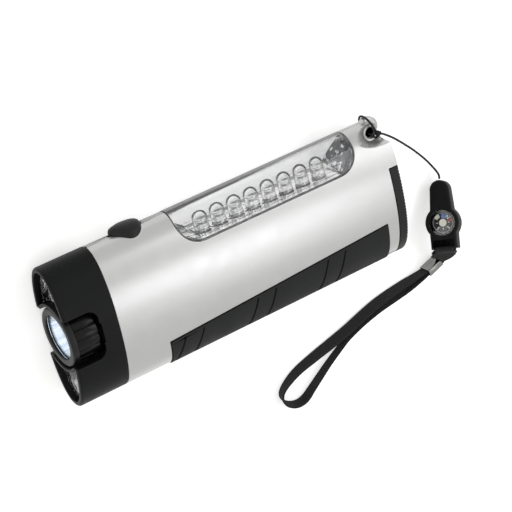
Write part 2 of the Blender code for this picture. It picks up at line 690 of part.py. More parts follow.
def housing_shells():
    """The two silver half shells, which meet at the seam along the narrow edges."""
    shared = shell_cutters()
    deep = HALF_WIDTH + OVERRUN
    for name, side in (("shell_near", 1), ("shell_far", -1)):
        shell = body_loft(name, [(HEAD_LENGTH, 0), (LENGTH - REAR_BLOCK_INSET, 0)], LAMP, silver_paint(name))
        other = sorted((side * GAP / 2, -side * deep))
        tall = HALF_HEIGHT + OVERRUN
        cut(shell, box(f"{name}_half", (0, -tall, other[0]), (LENGTH + OVERRUN, tall, other[1]), LAMP))
        for cutter in shared:
            cut(shell, cutter)
        cut(shell, scoop_cutter(f"{name}_scoop", side))
        for i, (x, y) in enumerate(SHELL_SCREW_PLACES):
            high = SHELL_SCREW_REACH + SCREW_HEAD
            pilot = f"{name}_pilot_{i + 1}"
            cut(shell, cylinder(pilot, SCREW_HOLE_RADIUS, -deep, high, "Z", (x, y), LAMP, sides=12))
            if side < 0:
                seat = -SHELL_SCREW_SEAT
                wide = SCREW_HEAD_RADIUS + GAP
                cut(shell, cylinder(f"screw_seat_{i + 1}", wide, -deep, seat, "Z", (x, y), LAMP, sides=16))
        smooth(shell)


def seam_strips():
    """The bright strip between the shells, in front of the button and behind it."""
    button_front = BUTTON_CENTRE - BUTTON_NOSE_REACH - BUTTON_NOSE_RADIUS
    button_rear = BUTTON_CENTRE + BUTTON_RADIUS
    spans = {
        "seam_strip_front": (HEAD_LENGTH + GAP, button_front - 2 * GAP),
        "seam_strip_rear": (button_rear + 2 * GAP, WINDOW_FRONT),
    }
    for name, (front, rear) in spans.items():
        low = (front, HALF_HEIGHT - STRIP_DEPTH, -STRIP_HALF_WIDTH)
        high = (rear, HALF_HEIGHT - STRIP_INSET, STRIP_HALF_WIDTH)
        box(name, low, high, LAMP, silver_paint(name))


def head_shell():
    """The black nose, with the lamp bore, the two thumb cut-outs and the pockets above and below."""
    rear = HEAD_LENGTH - GAP
    stations = [(0, -RIM_ROUND), (RIM_ROUND / 3, -RIM_ROUND / 3), (RIM_ROUND, 0), (rear, 0)]
    head = body_loft("head_shell", stations, LAMP, black_plastic("head_shell"))
    deep = HALF_WIDTH + OVERRUN
    cut(head, cylinder("lamp_bore", BORE_RADIUS, -OVERRUN, BORE_DEPTH, "X", (0, 0), LAMP, sides=48))
    corner_x, corner_y = CUTOUT_DEPTH - CUTOUT_CORNER, CUTOUT_HALF_HEIGHT - CUTOUT_CORNER
    thumb = [(-OVERRUN, -CUTOUT_HALF_HEIGHT)] + arc((corner_x, -corner_y), CUTOUT_CORNER, 270, 360, 6)
    thumb += arc((corner_x, corner_y), CUTOUT_CORNER, 0, 90, 6) + [(-OVERRUN, CUTOUT_HALF_HEIGHT)]
    cut(head, plate("thumb_cutout", thumb, -deep, deep, "Z", LAMP))
    for side, word in ((1, "upper"), (-1, "lower")):
        pocket = crescent(-WALL, POCKET_RADIUS, side)
        cut(head, plate(f"{word}_pocket", pocket, -OVERRUN, POCKET_DEPTH, "X", LAMP))
    back = body_loft("head_back", [(BORE_DEPTH + BORE_FLOOR, -WALL), (HEAD_LENGTH + OVERRUN, -WALL)], LAMP)
    for side, word in ((1, "upper"), (-1, "lower")):
        centre = (side * HEAD_SCREW_HEIGHT, 0)
        boss = cylinder(f"{word}_head_boss", HEAD_BOSS_RADIUS, 0, LENGTH, "X", centre, LAMP, sides=16)
        cut(back, boss)
    cut(head, back)
    cut(head, cylinder("spigot_hole", SPIGOT_RADIUS + GAP, 0, LENGTH, "X", (0, 0), LAMP, sides=20))
    tip = HEAD_LENGTH - HEAD_SCREW_REACH
    for side, word in ((1, "upper"), (-1, "lower")):
        centre = (side * HEAD_SCREW_HEIGHT, 0)
        cut(head, cylinder(f"{word}_head_pilot", SCREW_HOLE_RADIUS, tip, LENGTH, "X", centre, LAMP, sides=12))
    smooth(head)


def pocket_lamps():
    """In each pocket a plated reflector, a short diode and a clear lens that follow the pocket's outline."""
    for side, word in ((1, "upper"), (-1, "lower")):
        outline = crescent(-WALL - GAP, POCKET_RADIUS + GAP, side)
        centre = (side * POCKET_LAMP_HEIGHT, 0)
        back = POCKET_DEPTH - GAP
        front = back - POCKET_REFLECTOR_DEPTH
        name = f"{word}_pocket_reflector"
        reflector = plate(name, outline, front, back, "X", LAMP, chrome(name))
        dish = cylinder(
            f"{word}_dish", POCKET_DISH_RADIUS, front - GAP, back - GAP, "X", centre, LAMP, sides=24,
            far_radius=DIODE_RADIUS + GAP,
        )
        cut(reflector, dish)
        hole = DIODE_FLANGE_RADIUS + GAP
        cut(reflector, cylinder(f"{word}_lamp_hole", hole, 0, POCKET_DEPTH, "X", centre, LAMP, sides=20))
        name = f"{word}_pocket_led"
        profile = diode_profile(SHORT_DIODE_HEIGHT)
        diode = turned(name, profile, "X", (0, 0), LAMP, clear_plastic(name), DIODE_STEPS)
        face_front = Matrix(((0, 0, -1), (0, 1, 0), (1, 0, 0))).to_4x4()
        diode.matrix_local = Matrix.Translation((back, *centre)) @ face_front
        name = f"{word}_pocket_lens"
        lens_back = POCKET_LENS_INSET + POCKET_LENS_THICKNESS
        plate(name, outline, POCKET_LENS_INSET, lens_back, "X", LAMP, clear_plastic(name))


def rib_outline():
    """The barrel's ribbed outline as (y, z)."""
    points = []
    step = 360 / RIB_COUNT
    for i in range(RIB_COUNT):
        rib_end, groove_start, groove_end = (step * (i + share) for share in RIB_SHARES)
        points += arc((0, 0), BARREL_RADIUS + RIB_HEIGHT, step * i, rib_end, 2)
        points += arc((0, 0), BARREL_RADIUS, groove_start, groove_end, 1)
    return points


def twist_lamp():
    """The ribbed barrel with its bezel, lens and reflector, which turn together on the seat's spigot."""
    bezel_back = BEZEL_FRONT + BEZEL_LENGTH
    front = bezel_back + GAP
    barrel = plate("lamp_barrel", rib_outline(), front, BARREL_END, "X", LAMP, black_plastic("lamp_barrel"))
    floor = BARREL_END - BARREL_FLOOR
    before, behind = front - OVERRUN, BARREL_END + OVERRUN
    cut(barrel, cylinder("barrel_hollow", BARREL_INNER_RADIUS, before, floor, "X", (0, 0), LAMP, sides=32))
    cut(barrel, cylinder("barrel_hub", SPIGOT_RADIUS + GAP, before, behind, "X", (0, 0), LAMP, sides=20))
    smooth(barrel)
    lens_room = LENS_RADIUS + GAP
    lip_back = BEZEL_FRONT + BEZEL_LIP
    ring = [
        (lens_room, bezel_back), (BEZEL_RADIUS, bezel_back), (BEZEL_RADIUS, BEZEL_FRONT + BEZEL_LIP / 2),
        (BEZEL_RADIUS - BEZEL_LIP / 2, BEZEL_FRONT), (APERTURE_RADIUS + BEZEL_LIP / 2, BEZEL_FRONT),
        (APERTURE_RADIUS, BEZEL_FRONT + BEZEL_LIP / 2), (APERTURE_RADIUS, lip_back), (lens_room, lip_back),
        (lens_room, bezel_back),
    ]
    turned("lamp_bezel", ring, "X", (0, 0), LAMP, black_plastic("lamp_bezel"), 48)
    lens_front = lip_back + GAP
    lens = [
        (0, lens_front + LENS_THICKNESS), (LENS_RADIUS, lens_front + LENS_THICKNESS), (LENS_RADIUS, lens_front),
        (0, lens_front),
    ]
    turned("lamp_lens", lens, "X", (0, 0), LAMP, clear_plastic("lamp_lens"), 32)
    rim_front = front + GAP
    rim_back = rim_front + REFLECTOR_RIM
    rim = BARREL_INNER_RADIUS - GAP
    mouth = rim - 2 * REFLECTOR_WALL
    back = floor - GAP
    bowl = []
    for i in range(REFLECTOR_STEPS + 1):
        share = i / REFLECTOR_STEPS
        bowl.append((REFLECTOR_BACK_RADIUS + (mouth - REFLECTOR_BACK_RADIUS) * math.sqrt(share), share))
    depth = back - rim_front
    inner = [(r, back - share * depth) for r, share in bowl]
    outer = [(r + REFLECTOR_WALL, x) for r, x in inner if x > rim_back]
    cup = outer + [(outer[-1][0], rim_back), (rim, rim_back), (rim, rim_front)]
    cup += list(reversed(inner)) + outer[:1]
    turned("lamp_reflector", cup, "X", (0, 0), LAMP, chrome("lamp_reflector"), 32)


def lamp_seat_and_diode():
    """The fixed spigot that carries the lamp's diode and on which the barrel turns."""
    flange_front = BORE_DEPTH + BORE_FLOOR + GAP
    flange_back = flange_front + SEAT_FLANGE
    tip = BARREL_END - BARREL_FLOOR - GAP
    profile = [
        (0, flange_back), (SEAT_FLANGE_RADIUS, flange_back), (SEAT_FLANGE_RADIUS, flange_front),
        (SPIGOT_RADIUS, flange_front), (SPIGOT_RADIUS, tip), (0, tip),
    ]
    turned("lamp_seat", profile, "X", (0, 0), LAMP, black_plastic("lamp_seat"), 20)
    foot = tip - GAP
    height = foot - (BEZEL_FRONT + BEZEL_LENGTH + LAMP_STAND_OFF)
    diode = turned("lamp_led", diode_profile(height), "X", (0, 0), LAMP, clear_plastic("lamp_led"), DIODE_STEPS)
    face_front = Matrix(((0, 0, -1), (0, 1, 0), (1, 0, 0))).to_4x4()
    diode.matrix_local = Matrix.Translation((foot, 0, 0)) @ face_front


def bulkhead_and_screws():
    """The plate behind the nose, and the two screws through it that hold the nose on."""
    front = HEAD_LENGTH + BULKHEAD_GAP
    back = front + BULKHEAD_THICKNESS
    inset = -WALL - GAP
    bulkhead = body_loft("bulkhead", [(front, inset), (back, inset)], LAMP, black_plastic("bulkhead"))
    cut(bulkhead, cylinder("wire_hole", SPIGOT_RADIUS, 0, LENGTH, "X", (0, 0), LAMP, sides=16))
    cut(bulkhead, bpy.data.objects["strip_channel"])
    for side, word in ((1, "upper"), (-1, "lower")):
        centre = (side * HEAD_SCREW_HEIGHT, 0)
        cut(bulkhead, cylinder(f"{word}_clear", SCREW_HOLE_RADIUS, 0, LENGTH, "X", centre, LAMP, sides=12))
        tip = HEAD_LENGTH - HEAD_SCREW_REACH + GAP
        screw(f"head_screw_{word}", back + GAP, tip, "X", centre)


def screw(name, seat, tip, axis, centre):
    """A cross of a slot in a flat head, from its seat back to its tip along an axis."""
    outward = 1 if seat > tip else -1
    top = seat + outward * SCREW_HEAD
    profile = [(0, top), (SCREW_HEAD_RADIUS, top), (SCREW_HEAD_RADIUS, seat), (SCREW_RADIUS, seat)]
    profile += [(SCREW_RADIUS, tip), (0, tip)]
    if outward < 0:
        profile.reverse()
    made = turned(name, profile, axis, centre, LAMP, steel(name), 12)
    low, high = sorted((top - outward * SCREW_SLOT_DEPTH, top + outward * OVERRUN))
    wide = SCREW_HEAD_RADIUS + OVERRUN
    slot = [(-wide, -SCREW_SLOT / 2), (wide, -SCREW_SLOT / 2), (wide, SCREW_SLOT / 2), (-wide, SCREW_SLOT / 2)]
    placed = [(centre[0] + across, centre[1] + up) for across, up in slot]
    cut(made, plate(f"{name}_slot", placed, low, high, axis, LAMP))


def shell_screws():
    """The screws that draw the two shells together, with their heads in the far shell."""
    for i, place in enumerate(SHELL_SCREW_PLACES):
        screw(f"shell_screw_{i + 1}", -SHELL_SCREW_SEAT - GAP, SHELL_SCREW_REACH, "Z", place)


def side_light():
    """The clear saddle-shaped cover, the plated tray under it, the eight diodes and their board."""
    deep = HALF_WIDTH + OVERRUN
    cover = body_loft("window_cover", [(WINDOW_FRONT, 0), (WINDOW_REAR, 0)], LAMP, clear_plastic("window_cover"))
    inner = -WINDOW_THICKNESS
    cut(cover, body_loft("cover_hollow", [(HEAD_LENGTH, inner), (LENGTH, inner)], LAMP))
    cut(cover, plate("cover_outline", window_outline(GAP), -deep, deep, "Z", LAMP), "INTERSECT")
    smooth(cover)

    floor_front, floor_rear = WINDOW_FRONT + WINDOW_CORNER, WINDOW_REAR - WINDOW_CORNER
    end_front, end_rear = floor_front - TRAY_END_RUN, floor_rear + TRAY_END_RUN
    low = TRAY_TOP - TRAY_THICKNESS
    outline = [
        (end_front, TRAY_END_TOP), (end_front - TRAY_THICKNESS, TRAY_END_TOP),
        (floor_front - TRAY_THICKNESS, low), (floor_rear + TRAY_THICKNESS, low),
        (end_rear + TRAY_THICKNESS, TRAY_END_TOP), (end_rear, TRAY_END_TOP),
        (floor_rear, TRAY_TOP), (floor_front, TRAY_TOP),
    ]
    tray = plate("led_tray", outline, -deep, deep, "Z", LAMP, chrome("led_tray"))
    cut(tray, body_loft("tray_room", [(HEAD_LENGTH, -WALL - GAP), (LENGTH, -WALL - GAP)], LAMP), "INTERSECT")

    first, last = DIODE_FIRST, DIODE_FIRST + DIODE_PITCH * (DIODE_COUNT - 1)
    for i in range(DIODE_COUNT):
        along = DIODE_FIRST + DIODE_PITCH * i
        hole = DIODE_RADIUS + GAP
        cut(tray, cylinder(f"tray_hole_{i + 1}", hole, 0, HALF_HEIGHT, "Y", (0, along), LAMP, sides=DIODE_STEPS))
        name = f"side_led_{i + 1}"
        diode = turned(name, diode_profile(DIODE_HEIGHT), "Y", (0, 0), LAMP, clear_plastic(name), DIODE_STEPS)
        diode.matrix_local = Matrix.Translation((along, DIODE_BASE, 0)) @ spread_axes("Y")

    top = DIODE_BASE - GAP
    low = (first - SIDE_BOARD_MARGIN, top - BOARD_THICKNESS, -SIDE_BOARD_HALF_WIDTH)
    high = (last + SIDE_BOARD_MARGIN, top, SIDE_BOARD_HALF_WIDTH)
    box("side_led_board", low, high, LAMP, circuit_board("side_led_board"))


def push_button():
    """The domed rubber button, its skirt and post in one piece, which travels down into the housing."""
    skirt = HALF_HEIGHT - BUTTON_SKIRT
    shape = bmesh.new()
    rings = [[shape.verts.new((x, skirt, z)) for z, x in pear_outline(0)]]
    for rise, shrink in BUTTON_DOME_SHARES:
        slide = BUTTON_NOSE_REACH * (1 - shrink) / 2
        outline = [(z, x - slide) for z, x in pear_outline(0, shrink)]
        rings.append([shape.verts.new((x, crown(z) + BUTTON_PROUD * rise, z)) for z, x in outline])
    for ring, following in zip(rings, rings[1:]):
        for i in range(len(ring)):
            j = (i + 1) % len(ring)
            shape.faces.new((ring[i], ring[j], following[j], following[i]))
    shape.faces.new(rings[0])
    shape.faces.new(rings[-1])
    bmesh.ops.recalc_face_normals(shape, faces=shape.faces)
    mesh = bpy.data.meshes.new("push_button")
    shape.to_mesh(mesh)
    shape.free()
    button = mesh_object("push_button", mesh, LAMP, black_plastic("push_button"))
    foot, centre = skirt - BUTTON_POST, (0, BUTTON_CENTRE)
    post = cylinder("button_post", BUTTON_POST_RADIUS, foot, HALF_HEIGHT, "Y", centre, LAMP, sides=16)
    cut(button, post, "UNION")
    smooth(button)


def switch_and_board():
    """The press switch under the button, with its plunger, on the main board."""
    plunger_top = HALF_HEIGHT - BUTTON_SKIRT - BUTTON_POST - GAP
    switch_top = plunger_top - PLUNGER_SHOWS
    switch_base = switch_top - SWITCH_HEIGHT
    half = SWITCH_SIDE / 2
    low, high = (BUTTON_CENTRE - half, switch_base, -half), (BUTTON_CENTRE + half, switch_top, half)
    switch = box("tact_switch", low, high, LAMP, black_plastic("tact_switch"))
    centre = (0, BUTTON_CENTRE)
    well_floor = switch_top - (PLUNGER_LENGTH - PLUNGER_SHOWS + BUTTON_TRAVEL + GAP)
    wide = PLUNGER_RADIUS + GAP
    cut(switch, cylinder("plunger_well", wide, well_floor, HALF_HEIGHT, "Y", centre, LAMP, sides=16))
    foot = plunger_top - PLUNGER_LENGTH
    finish = black_plastic("switch_plunger")
    cylinder("switch_plunger", PLUNGER_RADIUS, foot, plunger_top, "Y", centre, LAMP, finish, 16)
    top = switch_base - GAP
    low = (MAIN_BOARD_FRONT, top - BOARD_THICKNESS, -MAIN_BOARD_HALF_WIDTH)
    high = (MAIN_BOARD_REAR, top, MAIN_BOARD_HALF_WIDTH)
    box("main_board", low, high, LAMP, circuit_board("main_board"))


def rubber_grip():
    """The soft sleeve round the narrow edge, with slanting pairs of grooves."""
    deep = HALF_WIDTH + OVERRUN
    sleeve = body_loft("rubber_grip", [(GRIP_FRONT - OVERRUN, GRIP_PROUD), (GRIP_REAR + OVERRUN, GRIP_PROUD)],
                       LAMP, material("rubber_grip", (0.018, 0.020, 0.021), 0.7))
    bed = GRIP_PROUD - GRIP_THICKNESS
    cut(sleeve, body_loft("grip_hollow", [(0, bed), (LENGTH, bed)], LAMP))
    cut(sleeve, plate("grip_edge", grip_outline(0), -deep, deep, "Z", LAMP), "INTERSECT")
    floor = GRIP_PROUD - GROOVE_DEPTH
    groove_floor = body_loft("groove_floor", [(0, floor), (LENGTH, floor)], LAMP)
    low = -HALF_HEIGHT - OVERRUN
    fall = GROOVE_LEAN * (GRIP_TOP_FRONT + low) / GRIP_TOP_FRONT
    for group in range(GROOVE_GROUPS):
        for pair in range(2):
            start = GROOVE_FIRST + GROOVE_GROUP * group + GROOVE_PAIR * pair
            share = (start - GRIP_FRONT) / (GRIP_REAR - GRIP_FRONT)
            top = -GRIP_TOP_FRONT + (GRIP_TOP_FRONT - GRIP_TOP_REAR) * share - GROOVE_WIDTH
            foot, end = start + fall, start + GROOVE_WIDTH
            outline = [(foot, low), (foot + GROOVE_WIDTH, low), (end, top), (start, top)]
            groove = plate(f"groove_{2 * group + pair + 1}", outline, -deep, deep, "Z", LAMP)
            cut(groove, groove_floor)
            cut(sleeve, groove)
    smooth(sleeve)


def battery_door():
    """The black end cap over the cells, with two snap tongues that hold it between the shells."""
    front, rear = LENGTH - DOOR_LENGTH, LENGTH
    third = DOOR_ROUND / 3
    stations = [(front, 0), (rear - DOOR_ROUND, 0), (rear - third, -third), (rear, -DOOR_ROUND)]
    door = body_loft("battery_door", stations, LAMP, black_plastic("battery_door"))
    trim_above(door, DOOR_TOP)
    cut(door, corner_cutter("low_corner", rear - DOOR_CORNER, DOOR_CORNER - HALF_HEIGHT, DOOR_CORNER, -1))
    hollow = body_loft("door_hollow", [(front - OVERRUN, -WALL), (front + DOOR_HOLLOW, -WALL)], LAMP)
    trim_above(hollow, DOOR_TOP - WALL)
    cut(door, hollow)
    outer = half_width_at(TONGUE_HEIGHT, -WALL - GAP) - GAP
    for side, word in ((1, "near"), (-1, "far")):
        low_z, high_z = sorted((side * (outer - TONGUE_THICKNESS), side * outer))
        low = (front - TONGUE_REACH, TONGUE_HEIGHT - TONGUE_HALF_WIDTH, low_z)
        high = (front + DOOR_HOLLOW + WALL / 2, TONGUE_HEIGHT + TONGUE_HALF_WIDTH, high_z)
        cut(door, box(f"{word}_tongue", low, high, LAMP), "UNION")
    smooth(door)


def cell_height(index):
    """The height of a cell's axis, the first one lowest."""
    return CELL_LOWEST + CELL_PITCH * index


def power_pack():
    """Three cells in line across the housing, their cradle, the contact plates and the springs."""
    wall_back = HOLDER_FRONT + HOLDER_WALL
    low = (HOLDER_FRONT, HOLDER_BOTTOM, -HOLDER_DEPTH)
    high = (HOLDER_REAR, HOLDER_TOP, -HOLDER_FACE)
    cradle = box("battery_holder", low, high, LAMP, black_plastic("battery_holder"))
    room = body_loft("holder_room", [(0, -WALL - GAP), (LENGTH, -WALL - GAP)], LAMP)
    front_wall = box("holder_wall", low, (wall_back, HOLDER_TOP, HOLDER_DEPTH), LAMP)
    cut(cradle, front_wall, "UNION")
    plate_front = wall_back + GAP
    plate_back = plate_front + CONTACT_THICKNESS
    room_radius = CELL_RADIUS + GAP
    for i in range(CELL_COUNT):
        centre = (cell_height(i), 0)
        trough = cylinder(f"trough_{i + 1}", room_radius, wall_back, LENGTH, "X", centre, LAMP, sides=24)
        cut(cradle, trough)
    contact_room = box(
        "contact_room", (wall_back, CONTACT_BOTTOM - GAP, -CONTACT_HALF_WIDTH - GAP),
        (plate_back + GAP, CONTACT_TOP + GAP, CONTACT_HALF_WIDTH + GAP), LAMP,
    )
    cut(cradle, contact_room)
    cut(cradle, room, "INTERSECT")

    rear_front = REAR_CONTACT_FRONT
    rear_back = rear_front + CONTACT_THICKNESS
    contacts = {"contact_front": (plate_front, plate_back), "contact_rear": (rear_front, rear_back)}
    for name, (start, end) in contacts.items():
        low = (start, CONTACT_BOTTOM, -CONTACT_HALF_WIDTH)
        high = (end, CONTACT_TOP, CONTACT_HALF_WIDTH)
        box(name, low, high, LAMP, steel(name))

    for i in range(CELL_COUNT):
        nub_forward = i % 2 == 1
        if nub_forward:
            start = plate_back + GAP
            spring_span = (rear_front - GAP, start + CELL_LENGTH + GAP)
        else:
            start = rear_front - GAP - CELL_LENGTH
            spring_span = (plate_back + GAP, CELL_SEAT + SPRING_LENGTH)
        battery_cell(f"battery_cell_{i + 1}", start, nub_forward, cell_height(i))
        contact_spring(f"contact_spring_{i + 1}", *spring_span, cell_height(i))


def battery_cell(name, start, nub_forward, height):
    """A slim cell along X with its nub at one end."""
    end = start + CELL_LENGTH
    body = CELL_LENGTH - CELL_NUB
    profile = [(0, CELL_LENGTH), (CELL_NUB_RADIUS, CELL_LENGTH), (CELL_NUB_RADIUS, body), (CELL_RADIUS, body)]
    profile += [(CELL_RADIUS, 0), (0, 0)]
    cell = turned(name, profile, "X", (0, 0), LAMP, material(name, (0.05, 0.22, 0.10), 0.35), 20)
    if nub_forward:
        turn = Matrix(((0, 0, -1), (0, 1, 0), (1, 0, 0))).to_4x4()
        cell.matrix_local = Matrix.Translation((end, height, 0)) @ turn
    else:
        cell.matrix_local = Matrix.Translation((start, height, 0)) @ spread_axes("X")


def contact_spring(name, wide_end, narrow_end, height):
    """A conical coil spring along X, wide at its contact plate and narrow at the cell."""
    inward = 1 if narrow_end > wide_end else -1
    wide_end += inward * SPRING_WIRE_RADIUS
    narrow_end -= inward * SPRING_WIRE_RADIUS
    count = SPRING_TURNS * SPRING_POINTS
    points = []
    for i in range(count + 1):
        share = i / count
        angle = 2 * math.pi * SPRING_TURNS * share
        radius = SPRING_WIDE + (SPRING_NARROW - SPRING_WIDE) * share
        along = wide_end + (narrow_end - wide_end) * share
        points.append((along, height + radius * math.cos(angle), radius * math.sin(angle)))
    tube(name, points, SPRING_WIRE_RADIUS, 1, LAMP, steel(name))


def tube(name, points, radius, resolution, carrier, finish):
    """A round wire or cord through points, with closed ends."""
    curve = bpy.data.curves.new(name, "CURVE")
    curve.dimensions = "3D"
    curve.bevel_depth = radius
    curve.bevel_resolution = resolution
    curve.use_fill_caps = True
    spline = curve.splines.new("POLY")
    spline.points.add(len(points) - 1)
    for point, place in zip(spline.points, points):
        point.co = (*place, 1)
    made = bpy.data.objects.new(name, curve)
    made.parent = carrier
    curve.materials.append(finish)
    PARTS.objects.link(made)
    return made


def smooth_route(points, steps):
    """Points of a smooth curve through a route's own points, with a few steps between each two."""
    places = [Vector(p) for p in points]
    ends = [2 * places[0] - places[1]] + places + [2 * places[-1] - places[-2]]
    found = []
    for before, start, end, after in zip(ends, ends[1:], ends[2:], ends[3:]):
        for i in range(steps):
            t = i / steps
            found.append(
                0.5 * (2 * start + (end - before) * t + (2 * before - 5 * start + 4 * end - after) * t * t
                       + (3 * start - before - 3 * end + after) * t * t * t)
            )
    return found + [places[-1]]


def ribbon(name, stations, thickness, carrier, finish):
    """A flat strap through stations of (centre, width direction, width)."""
    shape = bmesh.new()
    rings = []
    for i, (centre, across, width) in enumerate(stations):
        before = stations[max(i - 1, 0)][0]
        after = stations[min(i + 1, len(stations) - 1)][0]
        along = (after - before).normalized()
        across = (across - along * across.dot(along)).normalized()
        normal = along.cross(across)
        corners = ((-1, -1), (1, -1), (1, 1), (-1, 1))
        rings.append([
            shape.verts.new(centre + across * (a * width / 2) + normal * (b * thickness / 2)) for a, b in corners
        ])
    for ring, following in zip(rings, rings[1:]):
        for i in range(4):
            j = (i + 1) % 4
            shape.faces.new((ring[i], ring[j], following[j], following[i]))
    shape.faces.new(rings[0])
    shape.faces.new(rings[-1])
    bmesh.ops.recalc_face_normals(shape, faces=shape.faces)
    mesh = bpy.data.meshes.new(name)
    shape.to_mesh(mesh)
    shape.free()
    return mesh_object(name, mesh, carrier, finish)


def lanyard_cord():
    """The thin cord from the compass holder to its knot, and the hitch that goes round the lanyard hole's edge."""
    for name, route in (("lanyard_cord", CORD_ROUTE), ("cord_hitch", HITCH_ROUTE)):
        finish = material(name, (0.010, 0.010, 0.011), 0.8)
        tube(name, smooth_route(route, CORD_STEPS), CORD_RADIUS, 2, None, finish)


def cord_knot():
    """The knot that closes the cord's hitch."""
    shape = bmesh.new()
    bmesh.ops.create_icosphere(shape, subdivisions=2, radius=KNOT_RADIUS)
    bmesh.ops.translate(shape, verts=shape.verts, vec=KNOT_PLACE)
    mesh = bpy.data.meshes.new("cord_knot")
    shape.to_mesh(mesh)
    shape.free()
    knot = mesh_object("cord_knot", mesh, None, material("cord_knot", (0.010, 0.010, 0.011), 0.8))
    smooth(knot)


def wrist_strap():
    """The strap's loop, which stands on its edge on the ground."""
    route = smooth_route(STRAP_ROUTE, STRAP_STEPS)
    leans = smooth_route([(lean, 0, 0) for lean in STRAP_LEANS], STRAP_STEPS)
    stations = []
    for i, (centre, lean) in enumerate(zip(route, leans)):
        along = (route[min(i + 1, len(route) - 1)] - route[max(i - 1, 0)]).normalized()
        side = Vector((0, 0, 1)).cross(along)
        angle = math.radians(lean[0])
        stations.append((centre, Vector((0, 0, 1)) * math.cos(angle) + side * math.sin(angle), STRAP_WIDTH))
    ribbon("wrist_strap", stations, STRAP_THICKNESS, None, material("wrist_strap", (0.010, 0.010, 0.011), 0.8))


def strap_crimp():
    """The metal crimp round the strap, a flat sleeve open at both ends."""
    half = (CRIMP_LENGTH / 2, CRIMP_WIDTH / 2, CRIMP_HEIGHT / 2)
    sleeve = box("strap_crimp", (-half[0], -half[1], -half[2]), half, CRIMP, steel("strap_crimp"))
    inner = (half[0] + OVERRUN, half[1] - CRIMP_WALL, half[2] - CRIMP_WALL)
    cut(sleeve, box("crimp_bore", (-inner[0], -inner[1], -inner[2]), inner, CRIMP))


def strap_tab():
    """The folded strap that goes from the crimp up to the holder, round its bar and back down."""
    turn = compass_turn()
    along_crimp = Vector(CRIMP_AXIS_SHARES).normalized()
    bar = Vector(COMPASS_PLACE) + turn @ Vector((0, -(SLOT_BOTTOM + FOOT_REACH) / 2, -HOLDER_THICKNESS / 2))
    leave = turn @ Vector((0, *TAB_START_SHARES)).normalized()
    leaving = bar + leave * TAB_STRAIGHT
    inside = [Vector(CRIMP_PLACE) + along_crimp * CRIMP_LENGTH * share for share in TAB_INSIDE_SHARES]
    middle = [bar, leaving] + [Vector(point) for point in TAB_ROUTE] + inside
    shares = zip(TAB_HALF_GAPS, TAB_WIDTH_SHARES, TAB_UPRIGHT_SHARES)
    bar_way, upright = turn @ Vector((1, 0, 0)), Vector((0, 0, 1))
    layers = ([], [])
    for i, (centre, (half_gap, width, upward)) in enumerate(zip(middle, shares)):
        along = (middle[min(i + 1, len(middle) - 1)] - middle[i - 1]).normalized() if i else leave
        if i == 1:
            along = leave
        if i >= len(middle) - len(inside):
            along = -along_crimp
        across = bar_way.lerp(upright, upward)
        across = (across - along * across.dot(along)).normalized()
        normal = along.cross(across)
        for layer, side in zip(layers, (1, -1)):
            layer.append((centre + normal * half_gap * side, across, TAB_WIDTH * width))
    out = leave.cross(bar_way)
    wrap = []
    for i in range(1, TAB_WRAP_STEPS):
        angle = math.pi * i / TAB_WRAP_STEPS
        way = out * math.cos(angle) - leave * math.sin(angle)
        wrap.append((bar + way * TAB_HALF_GAPS[0], bar_way, TAB_WIDTH))
    stations = list(reversed(layers[0])) + wrap + layers[1]
    ribbon("strap_tab", stations, STRAP_THICKNESS, None, material("strap_tab", (0.010, 0.010, 0.011), 0.8))


def holder_outline():
    """The compass holder seen on its face: a round neck, a round body and a broad foot with the slot."""
    neck_centre = NECK_REACH - NECK_RADIUS
    neck = arc((0, neck_centre), NECK_RADIUS, 0, 180, 12)
    left = arc((0, 0), COMPASS_BODY_RADIUS, 180 - COMPASS_NECK_DEGREES, 180 + COMPASS_FOOT_DEGREES, 8)
    right = arc((0, 0), COMPASS_BODY_RADIUS, -COMPASS_FOOT_DEGREES, COMPASS_NECK_DEGREES, 8)
    foot = [(-FOOT_HALF_WIDTH, -SLOT_TOP), (-FOOT_HALF_WIDTH, -FOOT_REACH), (FOOT_HALF_WIDTH, -FOOT_REACH)]
    foot += [(FOOT_HALF_WIDTH, -SLOT_TOP)]
    return neck + left + foot + right


def compass_holder():
    """The moulded holder, open in the middle for the capsule, with a slot and a thin bar for the strap."""
    finish = black_plastic("compass_holder")
    holder = plate("compass_holder", holder_outline(), -HOLDER_THICKNESS, 0, "Z", COMPASS, finish)
    room = CAPSULE_RADIUS + GAP
    cut(holder, cylinder("capsule_room", room, -CAPSULE_DEPTH - GAP, OVERRUN, "Z", (0, 0), COMPASS, sides=32))
    low = (-SLOT_HALF_WIDTH, -SLOT_BOTTOM, -HOLDER_THICKNESS - OVERRUN)
    cut(holder, box("strap_slot", low, (SLOT_HALF_WIDTH, -SLOT_TOP, OVERRUN), COMPASS))
    middle = -HOLDER_THICKNESS / 2
    edge = -FOOT_REACH - OVERRUN
    bar_half = BAR_THICKNESS / 2
    spans = ((middle + bar_half, OVERRUN, "front"), (-HOLDER_THICKNESS - OVERRUN, middle - bar_half, "back"))
    for low_z, high_z, word in spans:
        relief = box(
            f"bar_{word}", (-SLOT_HALF_WIDTH, edge, low_z), (SLOT_HALF_WIDTH, -SLOT_TOP - GAP, high_z), COMPASS
        )
        cut(holder, relief)
    smooth(holder)


